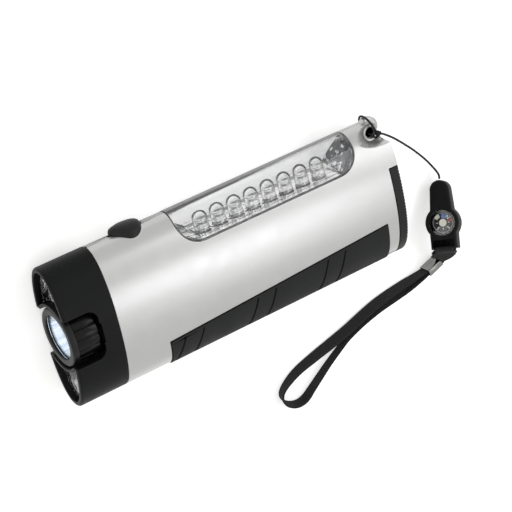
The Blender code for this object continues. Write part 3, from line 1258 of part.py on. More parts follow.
def compass():
    """The capsule cup, the clear dome over it and the card that floats on a pivot between them."""
    bottom = -CAPSULE_DEPTH
    rim = -DOME_THICKNESS - GAP
    inner = CAPSULE_RADIUS - CAPSULE_WALL
    floor = bottom + CAPSULE_WALL
    tip = floor + PIVOT_HEIGHT
    cup = [
        (0, tip), (PIVOT_RADIUS * PIVOT_TIP_SHARE, tip), (PIVOT_RADIUS, floor), (inner, floor), (inner, rim),
        (CAPSULE_RADIUS, rim), (CAPSULE_RADIUS, bottom), (0, bottom),
    ]
    turned("compass_capsule", cup, "Z", (0, 0), COMPASS, clear_plastic("compass_capsule"), 24)
    dome = []
    for i in range(DOME_STEPS + 1):
        share = i / DOME_STEPS
        dome.append((CAPSULE_RADIUS * share, DOME_RISE * (1 - share * share)))
    under = [(r, z - DOME_THICKNESS) for r, z in reversed(dome)]
    turned("compass_dome", dome + under, "Z", (0, 0), COMPASS, clear_plastic("compass_dome"), 24)
    card_low = floor + PIVOT_HEIGHT + GAP - CARD_THICKNESS / 2
    cap = card_low + CARD_THICKNESS
    hub = PIVOT_RADIUS + GAP
    card = [
        (0, cap + CARD_THICKNESS / 2), (CARD_HUB_RADIUS, cap + CARD_THICKNESS / 2), (CARD_HUB_RADIUS, cap),
        (CARD_RADIUS, cap), (CARD_RADIUS, card_low), (hub, card_low), (hub, cap - GAP / 2), (0, cap - GAP / 2),
    ]
    finish = material("compass_card", (0.015, 0.016, 0.018), 0.5)
    turned("compass_card", card, "Z", (0, 0), COMPASS, finish, 24)


housing_shells()
seam_strips()
head_shell()
pocket_lamps()
twist_lamp()
lamp_seat_and_diode()
bulkhead_and_screws()
shell_screws()
side_light()
push_button()
switch_and_board()
rubber_grip()
battery_door()
power_pack()
lanyard_cord()
cord_knot()
wrist_strap()
strap_crimp()
strap_tab()
compass_holder()
compass()
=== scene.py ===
"""Dresses the flat hand lamp: housing, nose, twist lamp, side light, button, grip, compass and lanyard.

The lamp's own frame has X from the front rim to the rear, Y from the grip up to the side light and Z from
one wide side to the other. Pieces are modelled there and then seated in the part's frame. All lengths are
in metres.
"""

from __future__ import annotations

import logging
import math
from dataclasses import dataclass, field
from enum import Enum
from typing import Callable, Iterable, Sequence

import bmesh
import bpy
from mathutils import Matrix, Vector


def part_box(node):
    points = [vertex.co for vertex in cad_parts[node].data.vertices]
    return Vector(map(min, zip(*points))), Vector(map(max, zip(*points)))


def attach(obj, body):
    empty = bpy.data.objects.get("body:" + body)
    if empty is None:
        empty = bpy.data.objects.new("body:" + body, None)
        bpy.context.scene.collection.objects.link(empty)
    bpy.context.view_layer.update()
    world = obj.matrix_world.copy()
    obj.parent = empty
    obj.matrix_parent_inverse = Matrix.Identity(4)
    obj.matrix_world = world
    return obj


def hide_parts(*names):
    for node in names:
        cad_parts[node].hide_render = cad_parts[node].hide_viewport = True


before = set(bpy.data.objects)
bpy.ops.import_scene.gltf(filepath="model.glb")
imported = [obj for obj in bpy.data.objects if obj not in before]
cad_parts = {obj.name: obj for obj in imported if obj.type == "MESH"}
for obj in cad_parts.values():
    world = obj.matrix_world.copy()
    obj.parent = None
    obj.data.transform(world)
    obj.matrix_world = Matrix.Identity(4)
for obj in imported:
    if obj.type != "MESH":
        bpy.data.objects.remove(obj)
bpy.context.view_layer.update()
LOG = logging.getLogger("hand_lamp")

Flat = tuple[float, float]
Place = tuple[float, float, float]
Colour = tuple[float, float, float]
Piece = bpy.types.Object
Node = bpy.types.Node
Socket = bpy.types.NodeSocket
Outputs = bpy.types.NodeOutputs
Material = bpy.types.Material
UP = Vector((0, 0, 1))


class Axis(Enum):
    """The axis along which a plate has its thickness, or round which a piece is turned."""

    X = "X"
    Y = "Y"
    Z = "Z"

    def spread(self) -> Matrix:
        """The matrix that lays a piece drawn with its thickness along Z so that it lies along this axis.

        Returns:
            The matrix, which swaps the axes round without mirroring.
        """
        if self is Axis.X:
            return Matrix(((0, 0, 1), (1, 0, 0), (0, 1, 0))).to_4x4()
        if self is Axis.Y:
            return Matrix(((0, 1, 0), (0, 0, 1), (1, 0, 0))).to_4x4()
        return Matrix.Identity(4)


class Kind(Enum):
    """What is selected in edit mode."""

    POINT = "VERT"
    EDGE = "EDGE"
    FACE = "FACE"


class Cut(Enum):
    """How a Boolean joins a cutter to its piece."""

    AWAY = "DIFFERENCE"
    KEEP = "INTERSECT"
    JOIN = "UNION"


# Modelling by operator


def deselect() -> None:
    """Leaves edit mode and deselects everything."""
    if bpy.context.mode != "OBJECT":
        bpy.ops.object.mode_set(mode="OBJECT")
    bpy.ops.object.select_all(action="DESELECT")


def take(piece: Piece) -> None:
    """Selects one piece alone and makes it the active one.

    Args:
        piece: The piece.
    """
    deselect()
    piece.select_set(True)
    bpy.context.view_layer.objects.active = piece


def open_up(piece: Piece, action: str = "SELECT") -> None:
    """Enters edit mode on one piece.

    Args:
        piece: The piece.
        action: What select_all does there first.
    """
    take(piece)
    bpy.ops.object.mode_set(mode="EDIT")
    bpy.ops.mesh.select_all(action=action)


def close_up() -> None:
    """Leaves edit mode."""
    bpy.ops.object.mode_set(mode="OBJECT")


def pick(piece: Piece, kind: Kind, wanted: Callable[[object], bool]) -> None:
    """Enters edit mode with only those points, edges or faces of a piece selected that pass a test.

    Args:
        piece: The piece.
        kind: What is selected.
        wanted: The test, which takes a vertex, an edge or a polygon of the mesh.
    """
    open_up(piece, "DESELECT")
    bpy.ops.mesh.select_mode(type=kind.value)
    close_up()
    mesh = piece.data
    for item in {Kind.POINT: mesh.vertices, Kind.EDGE: mesh.edges, Kind.FACE: mesh.polygons}[kind]:
        item.select = wanted(item)
    bpy.ops.object.mode_set(mode="EDIT")


def ends_of(piece: Piece, edge: bpy.types.MeshEdge) -> tuple[Vector, Vector]:
    """An edge's two ends."""
    first, second = edge.vertices
    return piece.data.vertices[first].co, piece.data.vertices[second].co


def merge_flats(piece: Piece) -> Piece:
    """Joins a piece's faces that lie in one plane.

    Args:
        piece: The piece.

    Returns:
        The piece.
    """
    open_up(piece)
    bpy.ops.mesh.dissolve_limited(angle_limit=math.radians(0.4))
    close_up()
    return piece


def round_edges(piece: Piece, wanted: Callable[[Vector, Vector], bool], width: float, segments: int) -> Piece:
    """Bevels in edit mode the edges of a piece whose ends pass a test.

    Args:
        piece: The piece.
        wanted: The test, which takes both ends.
        width: The bevel's width.
        segments: Its segments.

    Returns:
        The piece.
    """
    pick(piece, Kind.EDGE, lambda edge: wanted(*ends_of(piece, edge)))
    bpy.ops.mesh.bevel(offset=width, segments=segments, affect="EDGES")
    close_up()
    return piece


def settle(piece: Piece, place: Matrix) -> Piece:
    """Moves a piece by a matrix and puts that place in its mesh.

    Args:
        piece: The piece to move.
        place: The matrix that is applied on top of where the piece is.

    Returns:
        The piece, with its object at the origin, unturned and unscaled.
    """
    take(piece)
    piece.matrix_world = place @ piece.matrix_world
    bpy.ops.object.transform_apply(location=True, rotation=True, scale=True)
    return piece


def tidy_mesh(piece: Piece, within: float = 2e-6) -> Piece:
    """Merges a piece's doubles and turns its faces outwards, in edit mode.

    Args:
        piece: The piece to clean.
        within: The distance within which points are one.

    Returns:
        The piece.
    """
    open_up(piece)
    bpy.ops.mesh.remove_doubles(threshold=within)
    bpy.ops.mesh.normals_make_consistent(inside=False)
    close_up()
    return piece


def named(name: str) -> Piece:
    """Names the piece that an operator has just added, and its mesh.

    Args:
        name: The name.

    Returns:
        The piece.
    """
    piece = bpy.context.view_layer.objects.active
    piece.name = name
    piece.data.name = name
    return piece


def joined(parts: Sequence[Piece], name: str) -> Piece:
    """Joins pieces into one.

    Args:
        parts: The pieces.
        name: The name of what they become.

    Returns:
        The joined piece.
    """
    take(parts[0])
    for part in parts[1:]:
        part.select_set(True)
    if len(parts) > 1:
        bpy.ops.object.join()
    return named(name)


def block(name: str, low: Sequence[float], high: Sequence[float]) -> Piece:
    """A cube primitive sized and placed between two corners.

    Args:
        name: The piece's name.
        low: Its lowest corner.
        high: Its highest corner.

    Returns:
        The new piece.
    """
    deselect()
    size = Vector(high) - Vector(low)
    bpy.ops.mesh.primitive_cube_add(size=1, location=(Vector(high) + Vector(low)) / 2)
    piece = named(name)
    piece.scale = size
    return settle(piece, Matrix.Identity(4))


def rod(
    name: str, radius: float, low: float, high: float, axis: Axis, centre: Flat = (0.0, 0.0), sides: int = 48,
    far_radius: float | None = None,
) -> Piece:
    """A cylinder, or a cone where far_radius is given.

    Args:
        name: The piece's name.
        radius: Its radius at the low end.
        low: Where it starts along the axis.
        high: Where it ends.
        axis: The axis that it lies along.
        centre: Its centre in the other two axes.
        sides: How many sides it has.
        far_radius: Its radius at the high end.

    Returns:
        The new piece.
    """
    deselect()
    far = radius if far_radius is None else far_radius
    bpy.ops.mesh.primitive_cone_add(
        vertices=sides, radius1=radius, radius2=far, depth=high - low, end_fill_type="NGON"
    )
    piece = named(name)
    return settle(piece, axis.spread() @ Matrix.Translation((*centre, (low + high) / 2)))


def line_curve(name: str, points: Iterable[Sequence[float]], closed: bool, flat: bool) -> Piece:
    """A poly curve through points.

    Args:
        name: The curve's name.
        points: Its points.
        closed: Whether it joins its ends.
        flat: Whether it is a flat outline that is filled.

    Returns:
        The new curve object.
    """
    curve = bpy.data.curves.new(name, "CURVE")
    curve.dimensions = "2D" if flat else "3D"
    if flat:
        curve.fill_mode = "BOTH"
    places = [Vector(point).to_3d() for point in points]
    spline = curve.splines.new("POLY")
    spline.points.add(len(places) - 1)
    for point, place in zip(spline.points, places):
        point.co = (*place, 1)
    spline.use_cyclic_u = closed
    made = bpy.data.objects.new(name, curve)
    bpy.context.scene.collection.objects.link(made)
    return made


def plate(name: str, outline: Iterable[Flat], low: float, high: float, axis: Axis) -> Piece:
    """A flat outline with thickness, as (y, z) for X, (z, x) for Y and (x, y) for Z.

    Args:
        name: The piece's name.
        outline: The points of the outline.
        low: Where its thickness starts along the axis.
        high: Where it ends.
        axis: The axis of its thickness.

    Returns:
        The new piece.
    """
    piece = line_curve(name, outline, True, True)
    piece.data.extrude = (high - low) / 2
    take(piece)
    bpy.ops.object.convert(target="MESH")
    piece = named(name)
    settle(piece, axis.spread() @ Matrix.Translation((0, 0, (low + high) / 2)))
    return tidy_mesh(piece)


def turned(
    name: str, profile: Iterable[Flat], axis: Axis, centre: Flat = (0.0, 0.0), steps: int = 48,
    flip: bool = False, foot: float = 0.0,
) -> Piece:
    """A profile of (radius, height) spun round an axis.

    Args:
        name: The piece's name.
        profile: The profile's points.
        axis: The axis that it is spun round.
        centre: Where that axis is, in the other two.
        steps: How many steps the spin takes.
        flip: Whether heights run backwards along the axis, from foot.
        foot: The place of height 0 along the axis.

    Returns:
        The new piece.
    """
    way = -1 if flip else 1
    piece = line_curve(name, [(radius, 0, foot + way * height) for radius, height in profile], False, False)
    take(piece)
    bpy.ops.object.convert(target="MESH")
    piece = named(name)
    open_up(piece)
    bpy.ops.mesh.spin(steps=steps, angle=2 * math.pi, center=(0, 0, 0), axis=(0, 0, 1))
    close_up()
    tidy_mesh(piece)
    return settle(piece, axis.spread() @ Matrix.Translation((*centre, 0)))


def carve(piece: Piece, cutter: Piece, how: Cut = Cut.AWAY, keep: bool = False) -> Piece:
    """Applies a Boolean of a cutter to a piece.

    Args:
        piece: The piece that is cut or joined.
        cutter: The other shape.
        how: What is done with it.
        keep: Whether the cutter is used again.

    Returns:
        The piece.
    """
    take(piece)
    modifier = piece.modifiers.new("cut", "BOOLEAN")
    modifier.operation = how.value
    modifier.object = cutter
    bpy.ops.object.modifier_apply(modifier=modifier.name)
    if not keep:
        bpy.data.objects.remove(cutter, do_unlink=True)
    return piece


def soften(piece: Piece, width: float, segments: int = 2, angle: float = 32.0) -> Piece:
    """Rounds a piece's corners with an applied Bevel.

    Args:
        piece: The piece.
        width: The bevel's width.
        segments: Its segments.
        angle: The corner's least angle, in degrees.

    Returns:
        The piece.
    """
    open_up(piece)
    bpy.ops.mesh.remove_doubles(threshold=width / 6)
    close_up()
    merge_flats(piece)
    modifier = piece.modifiers.new("soft", "BEVEL")
    modifier.width = width
    modifier.segments = segments
    modifier.limit_method = "ANGLE"
    modifier.angle_limit = math.radians(angle)
    modifier.use_clamp_overlap = False
    bpy.ops.object.modifier_apply(modifier=modifier.name)
    return piece


def shade(piece: Piece, angle: float = 35.0) -> Piece:
    """Shades a piece smooth, with its sharper corners kept.

    Args:
        piece: The piece.
        angle: The angle over which a corner is kept, in degrees.

    Returns:
        The piece.
    """
    take(piece)
    bpy.ops.object.shade_smooth_by_angle(angle=math.radians(angle))
    return piece


def weigh_normals(piece: Piece) -> Piece:
    """Lets a piece's large faces rule its normals, so that they shade flat between small rounded edges.

    Args:
        piece: The piece.

    Returns:
        The piece.
    """
    take(piece)
    modifier = piece.modifiers.new("weigh", "WEIGHTED_NORMAL")
    modifier.weight = 100
    modifier.keep_sharp = True
    bpy.ops.object.modifier_apply(modifier=modifier.name)
    return piece


def dress(piece: Piece, finish: Material, body: str, slot: str, *nodes: str) -> Piece:
    """Gives a finished piece its material and body, and hides the nodes that it stands for.

    Args:
        piece: The piece.
        finish: Its material.
        body: The body that it rides on.
        slot: A material slot's name, which is not used.
        nodes: The nodes that it replaces.

    Returns:
        The piece.
    """
    piece.data.materials.clear()
    piece.data.materials.append(finish)
    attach(piece, body)
    if nodes:
        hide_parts(*nodes)
    LOG.info("%s: %d faces on %s", piece.name, len(piece.data.polygons), body)
    return piece


def arc(centre: Flat, radius: float, start: float, end: float, steps: int) -> list[Flat]:
    """Points on an arc, with the angles in degrees."""
    angles = [math.radians(start + (end - start) * i / steps) for i in range(steps + 1)]
    return [(centre[0] + radius * math.cos(a), centre[1] + radius * math.sin(a)) for a in angles]


def oblong(centre: Flat, half: Flat) -> list[Flat]:
    """The corners of an oblong with a middle and two half sides."""
    (x, y), (wide, tall) = centre, half
    return [(x - wide, y - tall), (x + wide, y - tall), (x + wide, y + tall), (x - wide, y + tall)]


def smooth_route(points: Sequence[Sequence[float]], steps: int) -> list[Vector]:
    """Points of a smooth curve through a route's own points.

    Args:
        points: The route's points.
        steps: How many steps there are between each two.

    Returns:
        The points in order, with both ends.
    """
    places = [Vector(p) for p in points]
    ends = [2 * places[0] - places[1]] + places + [2 * places[-1] - places[-2]]
    found = []
    for before, start, end, after in zip(ends, ends[1:], ends[2:], ends[3:]):
        for i in range(steps):
            t = i / steps
            found.append(
                0.5 * (2 * start + (end - before) * t + (2 * before - 5 * start + 4 * end - after) * t * t
                       + (3 * start - before - 3 * end + after) * t * t * t)
            )
    return found + [places[-1]]


# Finishes


def shaded(colour: Colour, share: float) -> Colour:
    """A colour darkened to a share of itself."""
    return tuple(channel * share for channel in colour)


class Sheet:
    """A node tree that is being drawn, with short ways to add and link its nodes."""

    def __init__(self, tree: bpy.types.NodeTree) -> None:
        """Starts on a tree."""
        self.tree = tree

    def add(self, kind: str, **settings: object) -> Node:
        """Adds a node.

        Args:
            kind: The node's type.
            settings: Its own settings.

        Returns:
            The node.
        """
        node = self.tree.nodes.new(kind)
        for name, value in settings.items():
            setattr(node, name, value)
        return node

    def put(self, socket: Socket, value: object) -> None:
        """Sets one input, or links it.

        Args:
            socket: The input.
            value: Its number or colour, or the socket that feeds it.
        """
        if isinstance(value, Socket):
            self.tree.links.new(value, socket)
        else:
            socket.default_value = value

    def feed(self, node: Node, **values: object) -> Node:
        """Sets or links a node's inputs by name, with underscores for spaces.

        Args:
            node: The node.
            values: Each input's number, colour or the socket that feeds it.

        Returns:
            The node.
        """
        for name, value in values.items():
            self.put(node.inputs[name.replace("_", " ")], value)
        return node

    def maths(self, operation: str, *values: object, clamp: bool = False) -> Socket:
        """The result of a Math node.

        Args:
            operation: What it does.
            values: Its one to three values.
            clamp: Whether the result is held between 0 and 1.

        Returns:
            The result's socket.
        """
        node = self.add("ShaderNodeMath", operation=operation, use_clamp=clamp)
        for socket, value in zip(node.inputs, values):
            self.put(socket, value)
        return node.outputs[0]

    def between(self, factor: object, low: Colour, high: Colour) -> Socket:
        """A colour that lies between two by a factor."""
        return self.over(factor, (*low, 1), high)

    def over(self, factor: object, under: object, top: Colour) -> Socket:
        """A colour laid over another.

        Args:
            factor: How much of it covers.
            under: The colour under it.
            top: The colour that is laid over.

        Returns:
            The colour's socket.
        """
        node = self.add("ShaderNodeMix", data_type="RGBA")
        for index, value in ((0, factor), (6, under), (7, (*top, 1))):
            self.put(node.inputs[index], value)
        return node.outputs[2]

    def ranged(
        self, value: object, low: float, high: float, to_low: float = 0.0, to_high: float = 1.0
    ) -> Socket:
        """A value spread from one range to another, and held there.

        Args:
            value: The value.
            low: Where its own range starts.
            high: Where that ends.
            to_low: Where the new range starts.
            to_high: Where that ends.

        Returns:
            The new value's socket.
        """
        node = self.add("ShaderNodeMapRange", clamp=True)
        for socket, given in zip(node.inputs, (value, low, high, to_low, to_high)):
            self.put(socket, given)
        return node.outputs[0]

    def noise(self, vector: Socket, scale: object, detail: float = 3.0) -> Socket:
        """A noise value over a vector."""
        return self.feed(self.add("ShaderNodeTexNoise"), Vector=vector, Scale=scale, Detail=detail).outputs[0]

    def stretched(self, vector: Socket, angle: float, stretch: Place) -> Socket:
        """A vector turned about Z and stretched."""
        node = self.add("ShaderNodeMapping")
        return self.feed(node, Vector=vector, Rotation=(0.0, 0.0, angle), Scale=stretch).outputs[0]

    def parts(self, vector: Socket) -> Outputs:
        """A vector's X, Y and Z."""
        return self.feed(self.add("ShaderNodeSeparateXYZ"), Vector=vector).outputs

    def seen(self) -> Socket:
        """Whether a ray comes from the camera, off a gloss or through glass, and so shows the background."""
        camera, gloss, glass = (self.ray(f"Is {word} Ray") for word in ("Camera", "Glossy", "Transmission"))
        return self.maths("MAXIMUM", self.maths("MAXIMUM", camera, gloss), glass)

    def ray(self, kind: str) -> Socket:
        """One of the answers of Light Path."""
        return self.add("ShaderNodeLightPath").outputs[kind]


class Effect(Enum):
    """The surface effects that several finishes share."""

    GRAIN = "surface_grain"
    DUST = "fine_dust"
    # One edge mask serves both edge wear and a painted highlight on corners.
    EDGES = "edge_wear"
    WEAVE = "woven_threads"
    SCRATCHES = "hair_scratches"


class EffectSheet(Sheet):
    """The tree of a shared effect, with what it is given and what it gives out."""

    def __init__(self, name: str, inputs: dict[str, float], outputs: Sequence[str]) -> None:
        """Makes the group with its sockets.

        Args:
            name: The group's name.
            inputs: Its numbers, each with its usual value, besides the place that every effect has.
            outputs: What it gives out.
        """
        super().__init__(bpy.data.node_groups.new(name, "ShaderNodeTree"))
        ends = self.tree.interface
        ends.new_socket(name="Place", in_out="INPUT", socket_type="NodeSocketVector")
        for word, value in inputs.items():
            ends.new_socket(name=word, in_out="INPUT", socket_type="NodeSocketFloat").default_value = value
        for word in outputs:
            ends.new_socket(name=word, in_out="OUTPUT", socket_type="NodeSocketFloat")
        self.given = self.add("NodeGroupInput").outputs
        self.out = self.add("NodeGroupOutput")

    def mask(self, found: Socket) -> None:
        """Gives out a mask times the amount that is asked for."""
        self.feed(self.out, Mask=self.maths("MULTIPLY", found, self.given["Amount"], clamp=True))


class EffectShelf:
    """Builds each shared effect once, as a node group, and places it in materials."""

    def __init__(self) -> None:
        """Starts with no groups, and with how each effect is drawn, its numbers and what it gives out."""
        self.groups: dict[Effect, bpy.types.NodeTree] = {}
        self.kinds: dict[Effect, tuple[Callable[[EffectSheet], None], dict[str, float], tuple[str, ...]]] = {
            Effect.GRAIN: (self.draw_grain, {"Scale": 2500.0}, ("Height", "Mottle")),
            Effect.DUST: (self.draw_dust, {"Scale": 900.0, "Amount": 0.3}, ("Mask",)),
            Effect.EDGES: (self.draw_edges, {"Radius": 0.0004, "Amount": 0.5}, ("Mask",)),
            Effect.WEAVE: (self.draw_weave, {"Across": 8.0, "Along": 60.0}, ("Height", "Thread")),
            Effect.SCRATCHES: (self.draw_scratches, {"Scale": 300.0}, ("Height", "Mask")),
        }

    def place(self, sheet: Sheet, effect: Effect, **values: object) -> Outputs:
        """Puts an effect in a material with its own values, and builds its group the first time.

        Args:
            sheet: The material's tree.
            effect: Which effect.
            values: Its inputs.

        Returns:
            What it gives out.
        """
        if effect not in self.groups:
            draw, inputs, outputs = self.kinds[effect]
            group = EffectSheet(effect.value, inputs, outputs)
            draw(group)
            self.groups[effect] = group.tree
        return sheet.feed(sheet.add("ShaderNodeGroup", node_tree=self.groups[effect]), **values).outputs

    @staticmethod
    def draw_grain(sheet: EffectSheet) -> None:
        """Moulded or sprayed grain: fine bumps, and a slow mottle of the colour.

        Args:
            sheet: The effect's tree.
        """
        place, scale = sheet.given["Place"], sheet.given["Scale"]
        slow = sheet.noise(place, sheet.maths("MULTIPLY", scale, 0.06), 2.0)
        sheet.feed(sheet.out, Height=sheet.noise(place, scale, 4.0), Mottle=sheet.ranged(slow, 0.32, 0.68))

    @staticmethod
    def draw_dust(sheet: EffectSheet) -> None:
        """Small pale specks gathered in soft patches.

        Args:
            sheet: The effect's tree.
        """
        place, scale = sheet.given["Place"], sheet.given["Scale"]
        cells = sheet.feed(sheet.add("ShaderNodeTexVoronoi", feature="F1"), Vector=place, Scale=scale)
        speck = sheet.ranged(cells.outputs["Distance"], 0.10, 0.22, 1.0, 0.0)
        patch = sheet.noise(place, sheet.maths("MULTIPLY", scale, 0.05), 2.0)
        sheet.mask(sheet.maths("MULTIPLY", speck, sheet.ranged(patch, 0.45, 0.75)))

    @staticmethod
    def draw_edges(sheet: EffectSheet) -> None:
        """Corners' wear and painted highlight: the angle between true and rounded normals, broken by noise.

        Args:
            sheet: The effect's tree.
        """
        rounded = sheet.feed(sheet.add("ShaderNodeBevel", samples=4), Radius=sheet.given["Radius"])
        face = sheet.add("ShaderNodeNewGeometry")
        dot = sheet.add("ShaderNodeVectorMath", operation="DOT_PRODUCT")
        sheet.put(dot.inputs[0], rounded.outputs["Normal"])
        sheet.put(dot.inputs[1], face.outputs["Normal"])
        bent = sheet.ranged(dot.outputs["Value"], 0.995, 0.80)
        rough = sheet.ranged(sheet.noise(sheet.given["Place"], 700.0, 4.0), 0.35, 0.65, 0.35, 1.0)
        sheet.mask(sheet.maths("MULTIPLY", bent, rough))

    @staticmethod
    def draw_weave(sheet: EffectSheet) -> None:
        """A plain weave over a flat map: threads that pass over and under one another.

        Args:
            sheet: The effect's tree.
        """
        parts = sheet.parts(sheet.given["Place"])
        waves, steps = [], []
        for part, count in (("X", "Across"), ("Y", "Along")):
            way = sheet.maths("MULTIPLY", parts[part], sheet.given[count])
            waves.append(sheet.maths("ABSOLUTE", sheet.maths("SINE", sheet.maths("MULTIPLY", way, math.pi))))
            steps.append(sheet.maths("MODULO", sheet.maths("FLOOR", way), 2.0))
        turn = sheet.maths("ABSOLUTE", sheet.maths("SUBTRACT", *steps))
        first = sheet.maths("MULTIPLY", waves[0], turn)
        second = sheet.maths("MULTIPLY", waves[1], sheet.maths("SUBTRACT", 1.0, turn))
        threads = sheet.maths("MULTIPLY", sheet.maths("ADD", first, second), 0.7)
        height = sheet.maths("ADD", threads, sheet.maths("MULTIPLY", sheet.maths("MULTIPLY", *waves), 0.3))
        sheet.feed(sheet.out, Height=height, Thread=sheet.ranged(height, 0.15, 0.85))

    @staticmethod
    def draw_scratches(sheet: EffectSheet) -> None:
        """Hair-fine handling scratches in two directions.

        Args:
            sheet: The effect's tree.
        """
        found = []
        for turn, stretch in ((0.5, (1.0, 0.03, 0.25)), (2.1, (0.04, 1.0, 0.3))):
            place = sheet.stretched(sheet.given["Place"], turn, stretch)
            line = sheet.noise(place, sheet.maths("MULTIPLY", sheet.given["Scale"], 6.0), 1.0)
            found.append(sheet.ranged(line, 0.66, 0.74))
        mask = sheet.maths("MAXIMUM", *found)
        sheet.feed(sheet.out, Mask=mask, Height=sheet.maths("SUBTRACT", 1.0, mask))


EFFECTS = EffectShelf()


class Coating(Sheet):
    """A Principled material that is being drawn, which reads its piece's own coordinates."""

    def __init__(self, name: str) -> None:
        """Begins a material.

        Args:
            name: The material's name.
        """
        self.material = bpy.data.materials.new(name)
        self.material.use_nodes = True
        super().__init__(self.material.node_tree)
        self.shader = self.tree.nodes["Principled BSDF"]
        self.place = self.add("ShaderNodeTexCoord").outputs["Object"]

    def effect(self, effect: Effect, **values: object) -> Outputs:
        """Places a shared effect on the piece's own coordinates, unless another place is given."""
        return EFFECTS.place(self, effect, **{"Place": self.place, **values})

    def chart(self) -> Socket:
        """The place on the piece's own map along its tape."""
        return self.add("ShaderNodeUVMap", uv_map="tape").outputs[0]

    def dress(self, **values: object) -> None:
        """Sets or links the shader's own inputs."""
        self.feed(self.shader, **values)

    def mottled(self, grain: Outputs, colour: Colour, share: float = 0.85) -> Socket:
        """A colour that drifts a little darker with a grain's slow mottle."""
        return self.between(grain["Mottle"], shaded(colour, share), colour)

    def rubbed_and_highlit(self, base: Socket, worn_and_highlit_colour: Colour, radius: float, amount: float) -> Socket:
        """A colour with its corners turned to another one, for edge wear and a painted highlight."""
        return self.over(self.effect(Effect.EDGES, Radius=radius, Amount=amount)["Mask"], base, worn_and_highlit_colour)

    def dusted(self, base: Socket, dust: Colour, scale: float, amount: float) -> Socket:
        """A colour with fine dust on it."""
        return self.over(self.effect(Effect.DUST, Scale=scale, Amount=amount)["Mask"], base, dust)

    def bump(self, height: Socket, depth: float, strength: float = 1.0) -> None:
        """Links a height to the shader's normal."""
        node = self.feed(self.add("ShaderNodeBump"), Strength=strength, Distance=depth, Height=height)
        self.dress(Normal=node.outputs[0])


class Finish:
    """What every finish shares: one material, drawn the first time that a piece asks for it."""

    made: dict[tuple, Material] = {}

    def material(self, name: str) -> Material:
        """This finish's material, made the first time and shared after that.

        Args:
            name: The material's name.

        Returns:
            The material.
        """
        key = (type(self).__name__, self)
        if key not in Finish.made:
            coat = Coating(name)
            self.draw(coat)
            Finish.made[key] = coat.material
        return Finish.made[key]

    def draw(self, coat: Coating) -> None:
        """Draws the material. Each finish has its own way."""
        raise NotImplementedError


@dataclass(frozen=True)
class MouldedBlack(Finish):
    """Matt black moulded plastic with a fine grain, corner wear with painted highlight, and a little dust."""

    colour: Colour = (0.0042, 0.0046, 0.0052)
    # The corner colour and amount below stand for edge wear and a painted highlight together.
    worn_and_highlit_colour: Colour = (0.060, 0.062, 0.066)
    roughness: float = 0.42
    grain: float = 0.000012
    wear_and_highlight: float = 0.55
    shine: float = 0.13

    def draw(self, coat: Coating) -> None:
        """Draws grain, mottle, edge wear with a painted highlight, and dust over one dark colour.

        Args:
            coat: The material.
        """
        grain = coat.effect(Effect.GRAIN, Scale=2600.0)
        # Lighter corners: edge wear and a painted highlight.
        base = coat.rubbed_and_highlit(coat.mottled(grain, self.colour, 0.82), self.worn_and_highlit_colour, 0.00035, self.wear_and_highlight)
        base = coat.dusted(base, (0.16, 0.16, 0.155), 1100.0, 0.16)
        gloss = coat.ranged(grain["Mottle"], 0, 1, self.roughness - 0.04, self.roughness + 0.05)
        coat.dress(Base_Color=base, Roughness=gloss, Specular_IOR_Level=self.shine)
        coat.bump(grain["Height"], self.grain)


@dataclass(frozen=True)
class SilverPaint(Finish):
    """Satin silver paint: metal flake under thin clear coat, faint mottle, corner wear and painted highlight.
    """

    colour: Colour = (0.50, 0.50, 0.498)
    roughness: float = 0.30
    flake: float = 0.000008

    def draw(self, coat: Coating) -> None:
        """Draws the flake's sparkle, a slow tone change and bright corners: wear and painted highlight.

        Args:
            coat: The material.
        """
        grain = coat.effect(Effect.GRAIN, Scale=3400.0)
        flakes = coat.feed(coat.add("ShaderNodeTexVoronoi", feature="F1"), Vector=coat.place, Scale=5200.0)
        spark = coat.maths("MULTIPLY", coat.ranged(flakes.outputs["Color"], 0.0, 1.0), 0.5)
        tone = coat.maths("ADD", coat.maths("MULTIPLY", grain["Mottle"], 0.5), spark)
        base = coat.between(tone, shaded(self.colour, 0.955), self.colour)
        # Bright corners: edge wear and a painted highlight.
        base = coat.rubbed_and_highlit(base, (0.78, 0.78, 0.79), 0.0003, 0.5)
        base = coat.dusted(base, (0.30, 0.29, 0.28), 1300.0, 0.10)
        gloss = coat.ranged(grain["Mottle"], 0, 1, self.roughness - 0.015, self.roughness + 0.02)
        coat.dress(Base_Color=base, Metallic=0.72, Roughness=gloss, Coat_Weight=0.12, Coat_Roughness=0.2)
        coat.bump(grain["Height"], self.flake)


@dataclass(frozen=True)
class GripRubber(Finish):
    """Soft dark rubber with a dry, slightly rough skin, and paler corners for wear and painted highlight."""

    colour: Colour = (0.0125, 0.0133, 0.0137)
    roughness: float = 0.62

    def draw(self, coat: Coating) -> None:
        """Draws the skin's grain, its mottle and the dust that rubber gathers.

        Args:
            coat: The material.
        """
        grain = coat.effect(Effect.GRAIN, Scale=1900.0)
        # Paler corners: edge wear and a painted highlight.
        base = coat.rubbed_and_highlit(coat.mottled(grain, self.colour), (0.075, 0.077, 0.078), 0.0003, 0.35)
        base = coat.dusted(base, (0.20, 0.20, 0.19), 1500.0, 0.22)
        gloss = coat.ranged(grain["Mottle"], 0, 1, self.roughness - 0.05, self.roughness + 0.06)
        coat.dress(Base_Color=base, Roughness=gloss, Specular_IOR_Level=0.19)
        coat.bump(grain["Height"], 0.00002)


